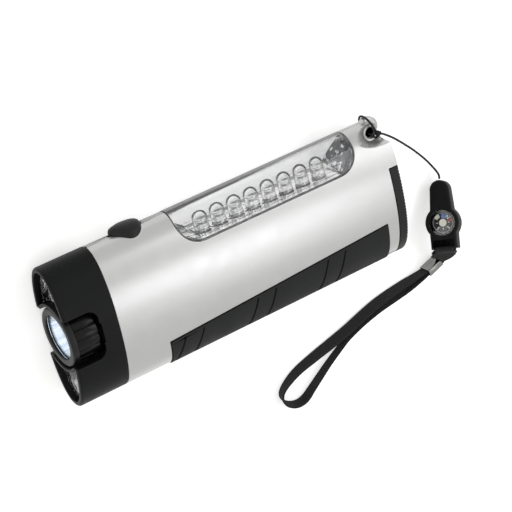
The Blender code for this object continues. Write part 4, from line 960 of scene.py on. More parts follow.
@dataclass(frozen=True)
class ClearPlastic(Finish):
    """Water-clear moulded plastic that lets the lamps' light through, with hair scratches."""

    tint: Colour = (0.985, 0.988, 0.990)
    roughness: float = 0.02
    ior: float = 1.49
    # rim: how far painted shade darkens the edges that are seen edge-on.
    rim: float = 0.0

    def draw(self, coat: Coating) -> None:
        """Draws clear plastic whose roughness rises in its scratches, and that lets shadow rays pass.

        Args:
            coat: The material.
        """
        scratches = coat.effect(Effect.SCRATCHES, Scale=260.0)
        base = coat.mottled(coat.effect(Effect.GRAIN, Scale=900.0), self.tint, 0.99)
        # Painted shade: the colour darkens where the surface is seen edge-on, for thick dark outlines.
        if self.rim:
            facing = coat.add("ShaderNodeLayerWeight").outputs["Facing"]
            base = coat.over(coat.ranged(facing, 0.20, 0.85, 0, self.rim), base, (0.18, 0.18, 0.19))
        gloss = coat.ranged(scratches["Mask"], 0, 1, self.roughness, self.roughness + 0.08)
        clear = coat.ranged(coat.ray("Is Shadow Ray"), 0, 1, 1.0, 0.12)
        coat.dress(Base_Color=base, Roughness=gloss, Alpha=clear)
        coat.dress(Transmission_Weight=1.0, IOR=self.ior)
        coat.bump(coat.noise(coat.place, 260.0, 1.0), 0.00001, 0.5)


@dataclass(frozen=True)
class Plating(Finish):
    """Bright vacuum plating on moulded plastic, slightly wavy, with a dull bloom in places."""

    colour: Colour = (0.80, 0.81, 0.83)
    roughness: float = 0.07
    waves: float = 0.00003
    # streaks: the scale of pale streaks that paint a reflection, when set.
    streaks: float = 0.0

    def draw(self, coat: Coating) -> None:
        """Draws plating with a slow wave, gloss grain, a few dull patches and, if asked, painted reflection
        streaks.

        Args:
            coat: The material.
        """
        grain = coat.effect(Effect.GRAIN, Scale=2000.0)
        base = coat.mottled(grain, self.colour, 0.93)
        # Painted reflection: pale streaks stand in for bright surroundings mirrored in the plating.
        if self.streaks:
            painted_light_streak = coat.noise(coat.stretched(coat.place, 0.7, (1.0, 0.2, 0.4)), self.streaks, 2.0)
            base = coat.over(coat.ranged(painted_light_streak, 0.52, 0.62), base, (0.60, 0.61, 0.63))
        base = coat.dusted(base, (0.45, 0.45, 0.45), 900.0, 0.2)
        gloss = coat.ranged(grain["Mottle"], 0, 1, self.roughness, self.roughness + 0.05)
        coat.dress(Base_Color=base, Metallic=1.0, Roughness=gloss)
        coat.bump(coat.noise(coat.place, 420.0, 2.0), self.waves, 0.8)


@dataclass(frozen=True)
class PlatedSteel(Finish):
    """Plated or rolled steel with fine draw lines along one axis."""

    colour: Colour = (0.56, 0.56, 0.57)
    roughness: float = 0.26
    stretch: Place = (0.05, 1.0, 1.0)

    def draw(self, coat: Coating) -> None:
        """Draws draw lines in the steel's tone, gloss and bump, and corner wear with painted highlight.

        Args:
            coat: The material.
        """
        lines = coat.noise(coat.stretched(coat.place, 0.0, self.stretch), 9000.0, 3.0)
        base = coat.between(coat.ranged(lines, 0.3, 0.7), shaded(self.colour, 0.84), self.colour)
        gloss = coat.ranged(lines, 0.3, 0.7, self.roughness - 0.05, self.roughness + 0.07)
        # Lighter corners: edge wear and a painted highlight.
        base = coat.rubbed_and_highlit(base, (0.78, 0.78, 0.78), 0.00015, 0.5)
        coat.dress(Base_Color=base, Metallic=1.0, Roughness=gloss)
        coat.bump(lines, 0.000004)


@dataclass(frozen=True)
class Webbing(Finish):
    """Black woven tape on a flat map, with a denser selvedge and a stitched line near each edge."""

    colour: Colour = (0.0065, 0.0065, 0.0070)
    high: Colour = (0.038, 0.038, 0.040)
    across: float = 14.0
    along: float = 2600.0

    def draw(self, coat: Coating) -> None:
        """Draws the weave in colour and bump, its fuzz, and the stitch lines along the edges.

        Args:
            coat: The material.
        """
        chart = coat.chart()
        parts = coat.parts(chart)
        weave = coat.effect(Effect.WEAVE, Place=chart, Across=self.across, Along=self.along)
        edge = coat.maths("ABSOLUTE", coat.maths("SUBTRACT", parts["X"], 0.5))
        seam = coat.ranged(coat.maths("ABSOLUTE", coat.maths("SUBTRACT", edge, 0.36)), 0.018, 0.035, 1.0, 0.0)
        step = coat.maths("SINE", coat.maths("MULTIPLY", parts["Y"], self.along * math.pi / 2))
        stitch = coat.maths("MULTIPLY", seam, coat.ranged(step, -0.4, 0.1))
        fuzz = coat.ranged(coat.noise(chart, 6000.0, 2.0), 0.3, 0.7, 0.55, 1.0)
        thread = coat.maths("MULTIPLY", weave["Thread"], fuzz)
        base = coat.between(thread, self.colour, self.high)
        base = coat.over(coat.maths("MULTIPLY", stitch, 0.7), base, (0.060, 0.060, 0.062))
        coat.dress(Base_Color=base, Roughness=coat.ranged(thread, 0, 1, 0.92, 0.74), Specular_IOR_Level=0.2)
        coat.dress(Sheen_Weight=0.04, Sheen_Roughness=0.5)
        coat.bump(coat.maths("ADD", weave["Height"], coat.maths("MULTIPLY", stitch, 0.8)), 0.00009)


@dataclass(frozen=True)
class BraidedCord(Finish):
    """Thin black braided cord, its strands crossing along the cord's own map."""

    colour: Colour = (0.0070, 0.0070, 0.0080)
    high: Colour = (0.020, 0.020, 0.022)

    def draw(self, coat: Coating) -> None:
        """Draws two sets of slanting strands in colour and bump.

        Args:
            coat: The material.
        """
        slanted = coat.stretched(coat.chart(), math.radians(45), (1.0, 350.0, 1.0))
        weave = coat.effect(Effect.WEAVE, Place=slanted, Across=5.0, Along=5.0)
        base = coat.between(weave["Thread"], self.colour, self.high)
        gloss = coat.ranged(weave["Thread"], 0, 1, 0.85, 0.62)
        coat.dress(Base_Color=base, Roughness=gloss, Specular_IOR_Level=0.3)
        coat.bump(weave["Height"], 0.00005)


@dataclass(frozen=True)
class Phosphor(Finish):
    """The yellowish phosphor over a diode's chip."""

    colour: Colour = (0.88, 0.84, 0.60)
    glow: float = 0.0

    def draw(self, coat: Coating) -> None:
        """Draws a grainy resin, and its glow where the diode is lit.

        Args:
            coat: The material.
        """
        grain = coat.effect(Effect.GRAIN, Scale=5000.0)
        coat.dress(Base_Color=coat.mottled(grain, self.colour, 0.8), Roughness=0.5)
        coat.dress(Emission_Color=(0.78, 0.88, 1.0, 1), Emission_Strength=self.glow)
        coat.bump(grain["Height"], 0.00002)


@dataclass(frozen=True)
class LampGlow(Finish):
    """The twist lamp's plating with a painted glow: its own bluish light painted in radial streaks."""

    colour: Colour = (0.80, 0.86, 0.94)
    glow: float = 0.84
    axis_place: Place = (-0.0684, -0.0011, 0.0107)

    def draw(self, coat: Coating) -> None:
        """Draws plating with painted glow in streaks that run out from the lamp's axis, brightest in its
        middle.

        Args:
            coat: The material.
        """
        shift = coat.add("ShaderNodeVectorMath", operation="SUBTRACT")
        coat.put(shift.inputs[0], coat.place)
        coat.put(shift.inputs[1], self.axis_place)
        parts = coat.parts(shift.outputs[0])
        angle = coat.maths("ARCTAN2", parts["Y"], parts["Z"])
        around = coat.add("ShaderNodeCombineXYZ")
        coat.feed(around, X=coat.maths("COSINE", angle), Y=coat.maths("SINE", angle))
        # Painted glow: the streaks give emission and a bluish tint for the lamp's light on its plating.
        painted_light_streak = coat.ranged(coat.noise(around.outputs[0], 7.0, 4.0), 0.38, 0.62)
        squares = [coat.maths("POWER", parts[word], 2.0) for word in ("Y", "Z")]
        middle = coat.ranged(coat.maths("SQRT", coat.maths("ADD", *squares)), 0.0030, 0.0075, 1.0, 0.45)
        painted_glow = coat.maths("MULTIPLY", coat.ranged(painted_light_streak, 0, 1, 0.45, 1.0), middle)
        base = coat.between(painted_light_streak, (0.50, 0.66, 0.88), self.colour)
        coat.dress(Base_Color=base, Metallic=1.0, Roughness=0.12, Emission_Color=(0.72, 0.85, 1.0, 1))
        coat.dress(Emission_Strength=coat.maths("MULTIPLY", painted_glow, self.glow))
        coat.bump(painted_light_streak, 0.00006)


@dataclass(frozen=True)
class CircuitBoard(Finish):
    """A coated circuit board with lighter tracks under its coating."""

    colour: Colour = (0.28, 0.40, 0.31)

    def draw(self, coat: Coating) -> None:
        """Draws tracks as cells' borders, and the weave of the board under them.

        Args:
            coat: The material.
        """
        cells = coat.add("ShaderNodeTexVoronoi", feature="DISTANCE_TO_EDGE")
        coat.feed(cells, Vector=coat.place, Scale=300.0)
        track = coat.ranged(cells.outputs["Distance"], 0.06, 0.09, 1.0, 0.0)
        weave = coat.effect(Effect.WEAVE, Across=2500.0, Along=2500.0)
        base = coat.between(weave["Thread"], shaded(self.colour, 0.9), self.colour)
        base = coat.over(coat.maths("MULTIPLY", track, 0.6), base, (0.42, 0.50, 0.34))
        coat.dress(Base_Color=base, Roughness=coat.ranged(track, 0, 1, 0.42, 0.30))
        coat.bump(track, 0.00002)


@dataclass(frozen=True)
class CellWrap(Finish):
    """A cell's shrunk wrap: plain green with a pale band toward its nub, and bare ends."""

    nub_end: float = 0.0
    colour: Colour = (0.02, 0.16, 0.07)

    def draw(self, coat: Coating) -> None:
        """Draws the band by the distance from the nub, with fine wrinkles.

        Args:
            coat: The material.
        """
        away = coat.maths("ABSOLUTE", coat.maths("SUBTRACT", coat.parts(coat.place)["X"], self.nub_end))
        band = coat.ranged(away, 0.0085, 0.0087, 1.0, 0.0)
        bare = coat.ranged(away, 0.0012, 0.00125, 1.0, 0.0)
        grain = coat.effect(Effect.GRAIN, Scale=1500.0)
        base = coat.over(band, coat.mottled(grain, self.colour), (0.62, 0.63, 0.60))
        coat.dress(Base_Color=coat.over(bare, base, (0.55, 0.55, 0.56)), Metallic=bare, Roughness=0.3)
        coat.bump(grain["Height"], 0.00002)


@dataclass(frozen=True)
class CardPrint(Finish):
    """Flat printed ink on the compass card."""

    colour: Colour = (0.8, 0.8, 0.8)

    def draw(self, coat: Coating) -> None:
        """Draws ink with an uneven tone.

        Args:
            coat: The material.
        """
        grain = coat.effect(Effect.GRAIN, Scale=6000.0)
        coat.dress(Base_Color=coat.mottled(grain, self.colour), Roughness=0.5)
        coat.bump(grain["Height"], 0.000008)


BLACK = MouldedBlack()
PAINT = SilverPaint()
CLEAR = ClearPlastic()
# The resin and the window take painted shade on edges seen edge-on.
RESIN = ClearPlastic(tint=(0.985, 0.99, 0.995), ior=1.50, rim=0.85)
WINDOW = ClearPlastic(rim=0.6)
STEEL = PlatedSteel()
BOARD = CircuitBoard()


# Studio


@dataclass(frozen=True)
class Softbox:
    """One rectangular lamp that faces the object: its direction, distance, sides, power and colour."""

    name: str
    way: Place
    distance: float
    wide: float
    tall: float
    power: float
    colour: Colour


@dataclass
class Studio:
    """The camera at the photograph's viewing angle, the white floor, the soft lamps and the world."""

    camera_place: Place = (-0.2626, 0.26559, 0.53841)
    camera_right: Place = (0.8207, -0.2091, 0.5317)
    camera_down: Place = (-0.3895, -0.8856, 0.2530)
    camera_forward: Place = (0.4180, -0.4147, -0.8083)
    lens: float = 132.67
    floor_side: float = 8.0
    lamps: tuple[Softbox, ...] = (
        Softbox("key_softbox", (0.385, -0.255, 0.885), 0.75, 0.17, 0.26, 0.40, (0.97, 0.975, 1.0)),
        Softbox("rear_softbox", (0.56, 0.22, 0.79), 0.90, 0.54, 0.22, 0.92, (0.985, 0.985, 1.0)),
        Softbox("front_fill", (-0.75, 0.10, 0.62), 0.90, 0.35, 0.35, 0.22, (1.0, 0.99, 0.97)),
    )
    world_strength: float = 0.70
    floor_glow: float = 0.50

    def place_camera(self) -> None:
        """Sets the camera where the photograph was taken from."""
        data = bpy.data.cameras.new("photo_camera")
        data.lens = self.lens
        data.sensor_width = 36.0
        data.clip_start, data.clip_end = 0.01, 50.0
        camera = bpy.data.objects.new("photo_camera", data)
        columns = (Vector(self.camera_right), -Vector(self.camera_down), -Vector(self.camera_forward))
        turn = Matrix(columns).transposed().to_quaternion().normalized()
        camera.matrix_world = Matrix.Translation(self.camera_place) @ turn.to_matrix().to_4x4()
        bpy.context.scene.collection.objects.link(camera)
        bpy.context.scene.camera = camera
        LOG.info("camera set")

    def lay_floor(self) -> None:
        """Lays a white floor that keeps the lamp's shadow."""
        deselect()
        bpy.ops.mesh.primitive_plane_add(size=self.floor_side, location=(0, 0, 0))
        floor = named("studio_floor")
        coat = Coating("studio_floor")
        coat.dress(Base_Color=(0.93, 0.93, 0.93, 1), Roughness=0.9, Specular_IOR_Level=0.0)
        glow = coat.maths("MULTIPLY", coat.seen(), self.floor_glow)
        coat.dress(Emission_Color=(1, 1, 1, 1), Emission_Strength=glow)
        floor.data.materials.append(coat.material)

    def light(self) -> None:
        """Sets the soft lamps and a white world."""
        for softbox in self.lamps:
            data = bpy.data.lights.new(softbox.name, "AREA")
            data.shape = "RECTANGLE"
            data.size, data.size_y = softbox.wide, softbox.tall
            data.energy = softbox.power
            data.color = softbox.colour
            lamp = bpy.data.objects.new(softbox.name, data)
            place = Vector(softbox.way).normalized() * softbox.distance
            lamp.matrix_world = Matrix.Translation(place) @ place.to_track_quat("Z", "Y").to_matrix().to_4x4()
            bpy.context.scene.collection.objects.link(lamp)
        world = bpy.data.worlds.new("studio_world")
        bpy.context.scene.world = world
        world.use_nodes = True
        sheet = Sheet(world.node_tree)
        strength = sheet.ranged(sheet.seen(), 0, 1, self.world_strength, 1.0)
        sheet.feed(sheet.tree.nodes["Background"], Color=(1.0, 0.996, 0.978, 1), Strength=strength)
        bpy.context.scene.view_settings.view_transform = "Standard"
        LOG.info("studio lit")


# Lanyard


@dataclass(frozen=True)
class CompassFrame:
    """Where the compass stands: its Z is the face, its Y runs up to the cord."""

    place: Place = (0.0879, -0.0253, 0.0113)
    face: Place = (-0.651, 0.459, 0.604)
    along: Place = (0.327, 0.888, -0.322)

    def turn(self) -> Matrix:
        """The compass's rotation.

        Returns:
            A matrix whose columns are the compass's own axes.
        """
        face = Vector(self.face).normalized()
        along = Vector(self.along)
        along = (along - face * along.dot(face)).normalized()
        return Matrix((along.cross(face), along, face)).transposed()

    def matrix(self) -> Matrix:
        """The compass's whole placing matrix."""
        return Matrix.Translation(self.place) @ self.turn().to_4x4()


@dataclass
class Lanyard:
    """The thin cord with its hitch and knot, the folded tab, the crimp and the wrist strap."""

    cord_radius: float = 0.00040
    cord_route: tuple[Place, ...] = (
        (0.0954, -0.0124, 0.0039), (0.0958, -0.0111, 0.0034), (0.0954, -0.0093, 0.0027),
        (0.0933, -0.0054, 0.0022), (0.0910, -0.0023, 0.0028), (0.0883, 0.0007, 0.0042),
        (0.0853, 0.0040, 0.0054), (0.0822, 0.0071, 0.0067), (0.0789, 0.0103, 0.0081),
        (0.0754, 0.0135, 0.0097), (0.0723, 0.0160, 0.0113), (0.0698, 0.0179, 0.0128),
        (0.0684, 0.0188, 0.0136),
    )
    hitch_route: tuple[Place, ...] = (
        (0.0659, 0.0213, 0.0139), (0.0652, 0.0227, 0.0142), (0.0644, 0.0243, 0.0145),
        (0.0638, 0.0260, 0.0134), (0.0636, 0.0267, 0.0113), (0.0639, 0.0260, 0.0088),
        (0.0643, 0.0241, 0.0073), (0.0647, 0.0219, 0.0075), (0.0650, 0.0203, 0.0087),
        (0.0650, 0.0195, 0.0107), (0.0653, 0.0190, 0.0123), (0.0659, 0.0182, 0.0134),
        (0.0668, 0.0188, 0.0137),
    )
    knot_place: Place = (0.0669, 0.0196, 0.0136)
    knot_radius: float = 0.00062
    knot_length: float = 0.0016
    knot_turns: float = 2.5
    knot_steps: int = 40
    drawn_in: float = 0.7
    strap_width: float = 0.0044
    strap_thickness: float = 0.0008
    selvedge: tuple[Flat, ...] = ((0.36, -0.78), (0.72, -0.82), (0.90, -1.0), (0.97, -0.80), (1.0, -0.30))
    strap_route: tuple[Place, ...] = (
        (0.0848, -0.0442, 0.0030), (0.0822, -0.0450, 0.0030), (0.0772, -0.0458, 0.0027),
        (0.0725, -0.0464, 0.0025), (0.0652, -0.0475, 0.0024), (0.0584, -0.0488, 0.0024),
        (0.0519, -0.0507, 0.0024), (0.0444, -0.0531, 0.0024), (0.0361, -0.0552, 0.0024),
        (0.0275, -0.0572, 0.0024), (0.0208, -0.0590, 0.0024), (0.0160, -0.0612, 0.0024),
        (0.0125, -0.0638, 0.0024), (0.0115, -0.0665, 0.0024), (0.0128, -0.0693, 0.0024),
        (0.0157, -0.0712, 0.0024), (0.0188, -0.0716, 0.0024), (0.0215, -0.0707, 0.0024),
        (0.0242, -0.0688, 0.0024), (0.0286, -0.0657, 0.0024), (0.0332, -0.0625, 0.0024),
        (0.0384, -0.0593, 0.0024), (0.0430, -0.0567, 0.0024), (0.0478, -0.0548, 0.0024),
        (0.0538, -0.0530, 0.0024), (0.0597, -0.0517, 0.0024), (0.0659, -0.0508, 0.0024),
        (0.0732, -0.0495, 0.0025), (0.0783, -0.0479, 0.0027), (0.0826, -0.0461, 0.0030),
        (0.0850, -0.0453, 0.0030),
    )
    strap_leans: tuple[float, ...] = (
        0, 0, 5, 12, 20, 25, 30, 32, 30, 20, 10, 0, -10, -14, -14, -14, -10, -6, 0, 4, 8, 10, 12, 12, 12,
        12, 12, 10, 6, 0, 0,
    )
    crimp_place: Place = (0.0854, -0.0446, 0.0030)
    crimp_along: Place = (0.947, 0.320, 0.0)
    crimp_length: float = 0.0066
    crimp_height: float = 0.0057
    crimp_width: float = 0.0030
    crimp_wall: float = 0.0003
    crimp_round: float = 0.0007
    crimp_line: float = 0.00012
    crimp_overrun: float = 0.002
    tab_width: float = 0.0076
    tab_start: Flat = (-0.42, -0.907)
    tab_straight: float = 0.0024
    tab_route: tuple[Place, ...] = (
        (0.0866, -0.0398, 0.0073), (0.0878, -0.0413, 0.0054), (0.0886, -0.0427, 0.0039),
    )
    tab_half_gaps: tuple[float, ...] = (0.0016, 0.0010, 0.0007, 0.00055, 0.0005, 0.0005, 0.0005, 0.0005)
    tab_widths: tuple[float, ...] = (1.0, 0.88, 0.74, 0.64, 0.60, 0.58, 0.58, 0.58)
    tab_upright: tuple[float, ...] = (0, 0, 0.20, 0.50, 0.80, 1, 1, 1)
    tab_inside: tuple[float, ...] = (0.46, 0.28, 0.10)
    tab_wrap_steps: int = 6
    compass: CompassFrame = field(default_factory=CompassFrame)

    @staticmethod
    def heading(route: Sequence[Vector], i: int) -> Vector:
        """A route's direction at one of its points."""
        return (route[min(i + 1, len(route) - 1)] - route[max(i - 1, 0)]).normalized()

    @staticmethod
    def loft(name: str, rings: Sequence[Sequence[Vector]], across: Sequence[Flat] = ()) -> Piece:
        """A closed tube through rings of points, with a map across and along it.

        Args:
            name: The piece's name.
            rings: The rings, each with the same count of points.
            across: Where each side of a ring starts and ends across the map, or nothing for even shares.

        Returns:
            The new piece.
        """
        shape = bmesh.new()
        layer = shape.loops.layers.uv.new("tape")
        count = len(rings[0])
        spans = across or [(i / count, (i + 1) / count) for i in range(count)]
        middles = [sum(ring, Vector()) / count for ring in rings]
        far = [0.0]
        for before, after in zip(middles, middles[1:]):
            far.append(far[-1] + (after - before).length)
        points = [[shape.verts.new(point) for point in ring] for ring in rings]
        for ring, following, start, end in zip(points, points[1:], far, far[1:]):
            for i, (low, high) in enumerate(spans):
                j = (i + 1) % count
                face = shape.faces.new((ring[i], ring[j], following[j], following[i]))
                for loop, spot in zip(face.loops, ((low, start), (high, start), (high, end), (low, end))):
                    loop[layer].uv = spot
        for ring in (points[0], points[-1]):
            shape.faces.new(ring)
        bmesh.ops.recalc_face_normals(shape, faces=shape.faces)
        mesh = bpy.data.meshes.new(name)
        shape.to_mesh(mesh)
        shape.free()
        made = bpy.data.objects.new(name, mesh)
        bpy.context.scene.collection.objects.link(made)
        return made

    def tube(self, name: str, route: Sequence[Vector], radius: float, sides: int = 14) -> Piece:
        """A round cord along a route, its ends drawn in.

        Args:
            name: The piece's name.
            route: The points that it follows.
            radius: Its radius.
            sides: How many sides it has.

        Returns:
            The new piece.
        """
        rings = []
        normal = UP
        for i, centre in enumerate(route):
            along = self.heading(route, i)
            normal = (normal - along * normal.dot(along)).normalized()
            side = along.cross(normal)
            size = radius * (self.drawn_in if i in (0, len(route) - 1) else 1.0)
            turns = [2 * math.pi * k / sides for k in range(sides)]
            rings.append([centre + (normal * math.cos(t) + side * math.sin(t)) * size for t in turns])
        return self.loft(name, rings)

    def tape(self, name: str, stations: Sequence[tuple[Vector, Vector, float]]) -> Piece:
        """A woven tape through stations, a little thicker along its two selvedges.

        Args:
            name: The piece's name.
            stations: Each station's centre, width direction and width.

        Returns:
            The new piece.
        """
        half = [(-a, b) for a, b in reversed(self.selvedge)] + [(0.0, -0.76), *self.selvedge]
        outline = half + [(a, -b) for a, b in reversed(half)]
        starts = [(a + 1) / 2 for a, _ in outline]
        rings = []
        centres = [centre for centre, _, _ in stations]
        for i, (centre, across, width) in enumerate(stations):
            along = self.heading(centres, i)
            across = (across - along * across.dot(along)).normalized()
            normal = along.cross(across)
            wide, thick = across * width / 2, normal * self.strap_thickness / 2
            rings.append([centre + wide * a + thick * b for a, b in outline])
        return self.loft(name, rings, list(zip(starts, starts[1:] + starts[:1])))

    def cord(self, held: Sequence[Piece]) -> Piece:
        """The cord from its hitch at the lamp's corner to the compass, as one piece with its hitch.

        Args:
            held: The pieces that hang on it, which are not used.

        Returns:
            The cord.
        """
        route = smooth_route([*reversed(self.hitch_route), self.knot_place, *reversed(self.cord_route)], 5)
        piece = self.tube("lanyard_cord_braid", route, self.cord_radius)
        shade(piece, 60)
        dress(piece, BraidedCord().material("cord_braid"), "lamp", "cord", "lanyard_cord", "cord_hitch")
        return piece

    def knot(self) -> Piece:
        """The knot: two and a half turns of the cord round itself.

        Returns:
            The knot.
        """
        middle = Vector(self.knot_place)
        along = (Vector(self.cord_route[-1]) - middle).normalized()
        side = along.cross(UP).normalized()
        up = side.cross(along)
        route = []
        for i in range(self.knot_steps + 1):
            share = i / self.knot_steps
            angle = 2 * math.pi * self.knot_turns * share
            out = side * math.cos(angle) + up * math.sin(angle)
            route.append(middle + out * self.knot_radius + along * (share - 0.5) * self.knot_length)
        piece = self.tube("hitch_knot", route, self.cord_radius * 0.95, 12)
        shade(piece, 60)
        return dress(piece, BraidedCord().material("cord_braid"), "lamp", "cord", "cord_knot")

    def strap(self) -> Piece:
        """The wrist strap's loop, standing on its edge.


        Returns:
            The strap.
        """
        route = smooth_route(self.strap_route, 6)
        leans = smooth_route([(lean, 0, 0) for lean in self.strap_leans], 6)
        stations = []
        for i, (centre, lean) in enumerate(zip(route, leans)):
            side = UP.cross(self.heading(route, i))
            angle = math.radians(lean[0])
            stations.append((centre, UP * math.cos(angle) + side * math.sin(angle), self.strap_width))
        piece = self.tape("wrist_strap_webbing", stations)
        shade(piece, 50)
        dress(piece, Webbing().material("strap_webbing"), "lamp", "webbing", "wrist_strap")
        return piece

    def crimp_matrix(self) -> Matrix:
        """The crimp's placing matrix.

        Returns:
            The matrix.
        """
        along = Vector(self.crimp_along).normalized()
        turn = Matrix((along, UP.cross(along), UP)).transposed()
        return Matrix.Translation(self.crimp_place) @ turn.to_4x4()

    def crimp(self) -> Piece:
        """The steel crimp: a flat sleeve with rounded corners and a lapped joint on its back.

        Returns:
            The crimp.
        """
        half = (self.crimp_length / 2, self.crimp_width / 2, self.crimp_height / 2)
        piece = block("strap_crimp_sleeve", [-h for h in half], half)
        round_edges(piece, lambda a, b: abs(a.x - b.x) > self.crimp_length / 2, self.crimp_round, 4)
        end = half[0] + self.crimp_overrun
        inner = [h - self.crimp_wall for h in half]
        carve(piece, block("crimp_bore", (-end, -inner[1], -inner[2]), (end, inner[1], inner[2])))
        line, back = self.crimp_line, half[1]
        carve(piece, block("crimp_lap", (-end, back - line, -line), (end, back + self.crimp_overrun, line)))
        soften(piece, 0.00006, 2, 40)
        settle(piece, self.crimp_matrix())
        shade(piece, 40)
        # Painted reflection: the steel is set dark for a dark surround that the crimp mirrors.
        steel = PlatedSteel(colour=(0.25, 0.25, 0.245), roughness=0.22, stretch=(1.0, 0.06, 1.0))
        return dress(piece, steel.material("crimp_dark_reflection_steel"), "lamp", "plated_steel", "strap_crimp")

    def tab(self) -> Piece:
        """The folded tape from the crimp up to the holder, round its bar and back down.

        Returns:
            The tab.
        """
        turn = self.compass.turn()
        crimp, crimp_way = Vector(self.crimp_place), Vector(self.crimp_along).normalized()
        sizes = CompassSizes()
        bar = Vector(self.compass.place)
        bar += turn @ Vector((0, -(sizes.slot_bottom + sizes.foot_reach) / 2, -sizes.thickness / 2))
        leave = (turn @ Vector((0, *self.tab_start))).normalized()
        inside = [crimp + crimp_way * self.crimp_length * share for share in self.tab_inside]
        middle = [bar, bar + leave * self.tab_straight] + [Vector(point) for point in self.tab_route] + inside
        bar_way = turn @ Vector((1, 0, 0))
        near: list[tuple[Vector, Vector, float]] = []
        far: list[tuple[Vector, Vector, float]] = []
        for i, centre in enumerate(middle):
            along = leave if i < 2 else self.heading(middle, i)
            if i >= len(middle) - len(inside):
                along = -crimp_way
            across = bar_way.lerp(UP, self.tab_upright[i])
            across = (across - along * across.dot(along)).normalized()
            apart = along.cross(across) * self.tab_half_gaps[i]
            width = self.tab_width * self.tab_widths[i]
            near.append((centre + apart, across, width))
            far.append((centre - apart, across, width))
        out = leave.cross(bar_way)
        wrap = []
        for i in range(1, self.tab_wrap_steps):
            angle = math.pi * i / self.tab_wrap_steps
            place = bar + (out * math.cos(angle) - leave * math.sin(angle)) * self.tab_half_gaps[0]
            wrap.append((place, bar_way, self.tab_width))
        rough = near[::-1] + wrap + far
        centres = smooth_route([c for c, _, _ in rough], 4)
        acrosses = smooth_route([a for _, a, _ in rough], 4)
        widths = smooth_route([(w, 0, 0) for _, _, w in rough], 4)
        stations = [(c, a.normalized(), w[0]) for c, a, w in zip(centres, acrosses, widths)]
        piece = self.tape("strap_tab_webbing", stations)
        shade(piece, 50)
        return dress(piece, Webbing(across=22.0).material("tab_webbing"), "lamp", "webbing", "strap_tab")


# Compass


@dataclass(frozen=True)
class CompassSizes:
    """The compass holder's and capsule's own sizes."""

    thickness: float = 0.0067
    neck_radius: float = 0.0036
    neck_reach: float = 0.0158
    body_radius: float = 0.0063
    foot_half_width: float = 0.0049
    foot_reach: float = 0.0097
    slot_half_width: float = 0.0040
    slot_top: float = 0.0064
    slot_bottom: float = 0.0084
    bar_thickness: float = 0.0014
    capsule_radius: float = 0.0047
    capsule_depth: float = 0.0046
    capsule_wall: float = 0.0005
    dome_thickness: float = 0.0005
    dome_rise: float = 0.0008
    card_radius: float = 0.0039
    card_thickness: float = 0.0006
    card_boss: float = 0.0003
    card_boss_radius: float = 0.0010
    card_recess: float = 0.00015
    card_recess_radius: float = 0.0008
    pivot_tip: float = 0.0001
    pivot_foot: float = 0.0005
    edge_round: float = 0.0008
    pivot_height: float = 0.0014
    gap: float = 0.0003


# Shared shape


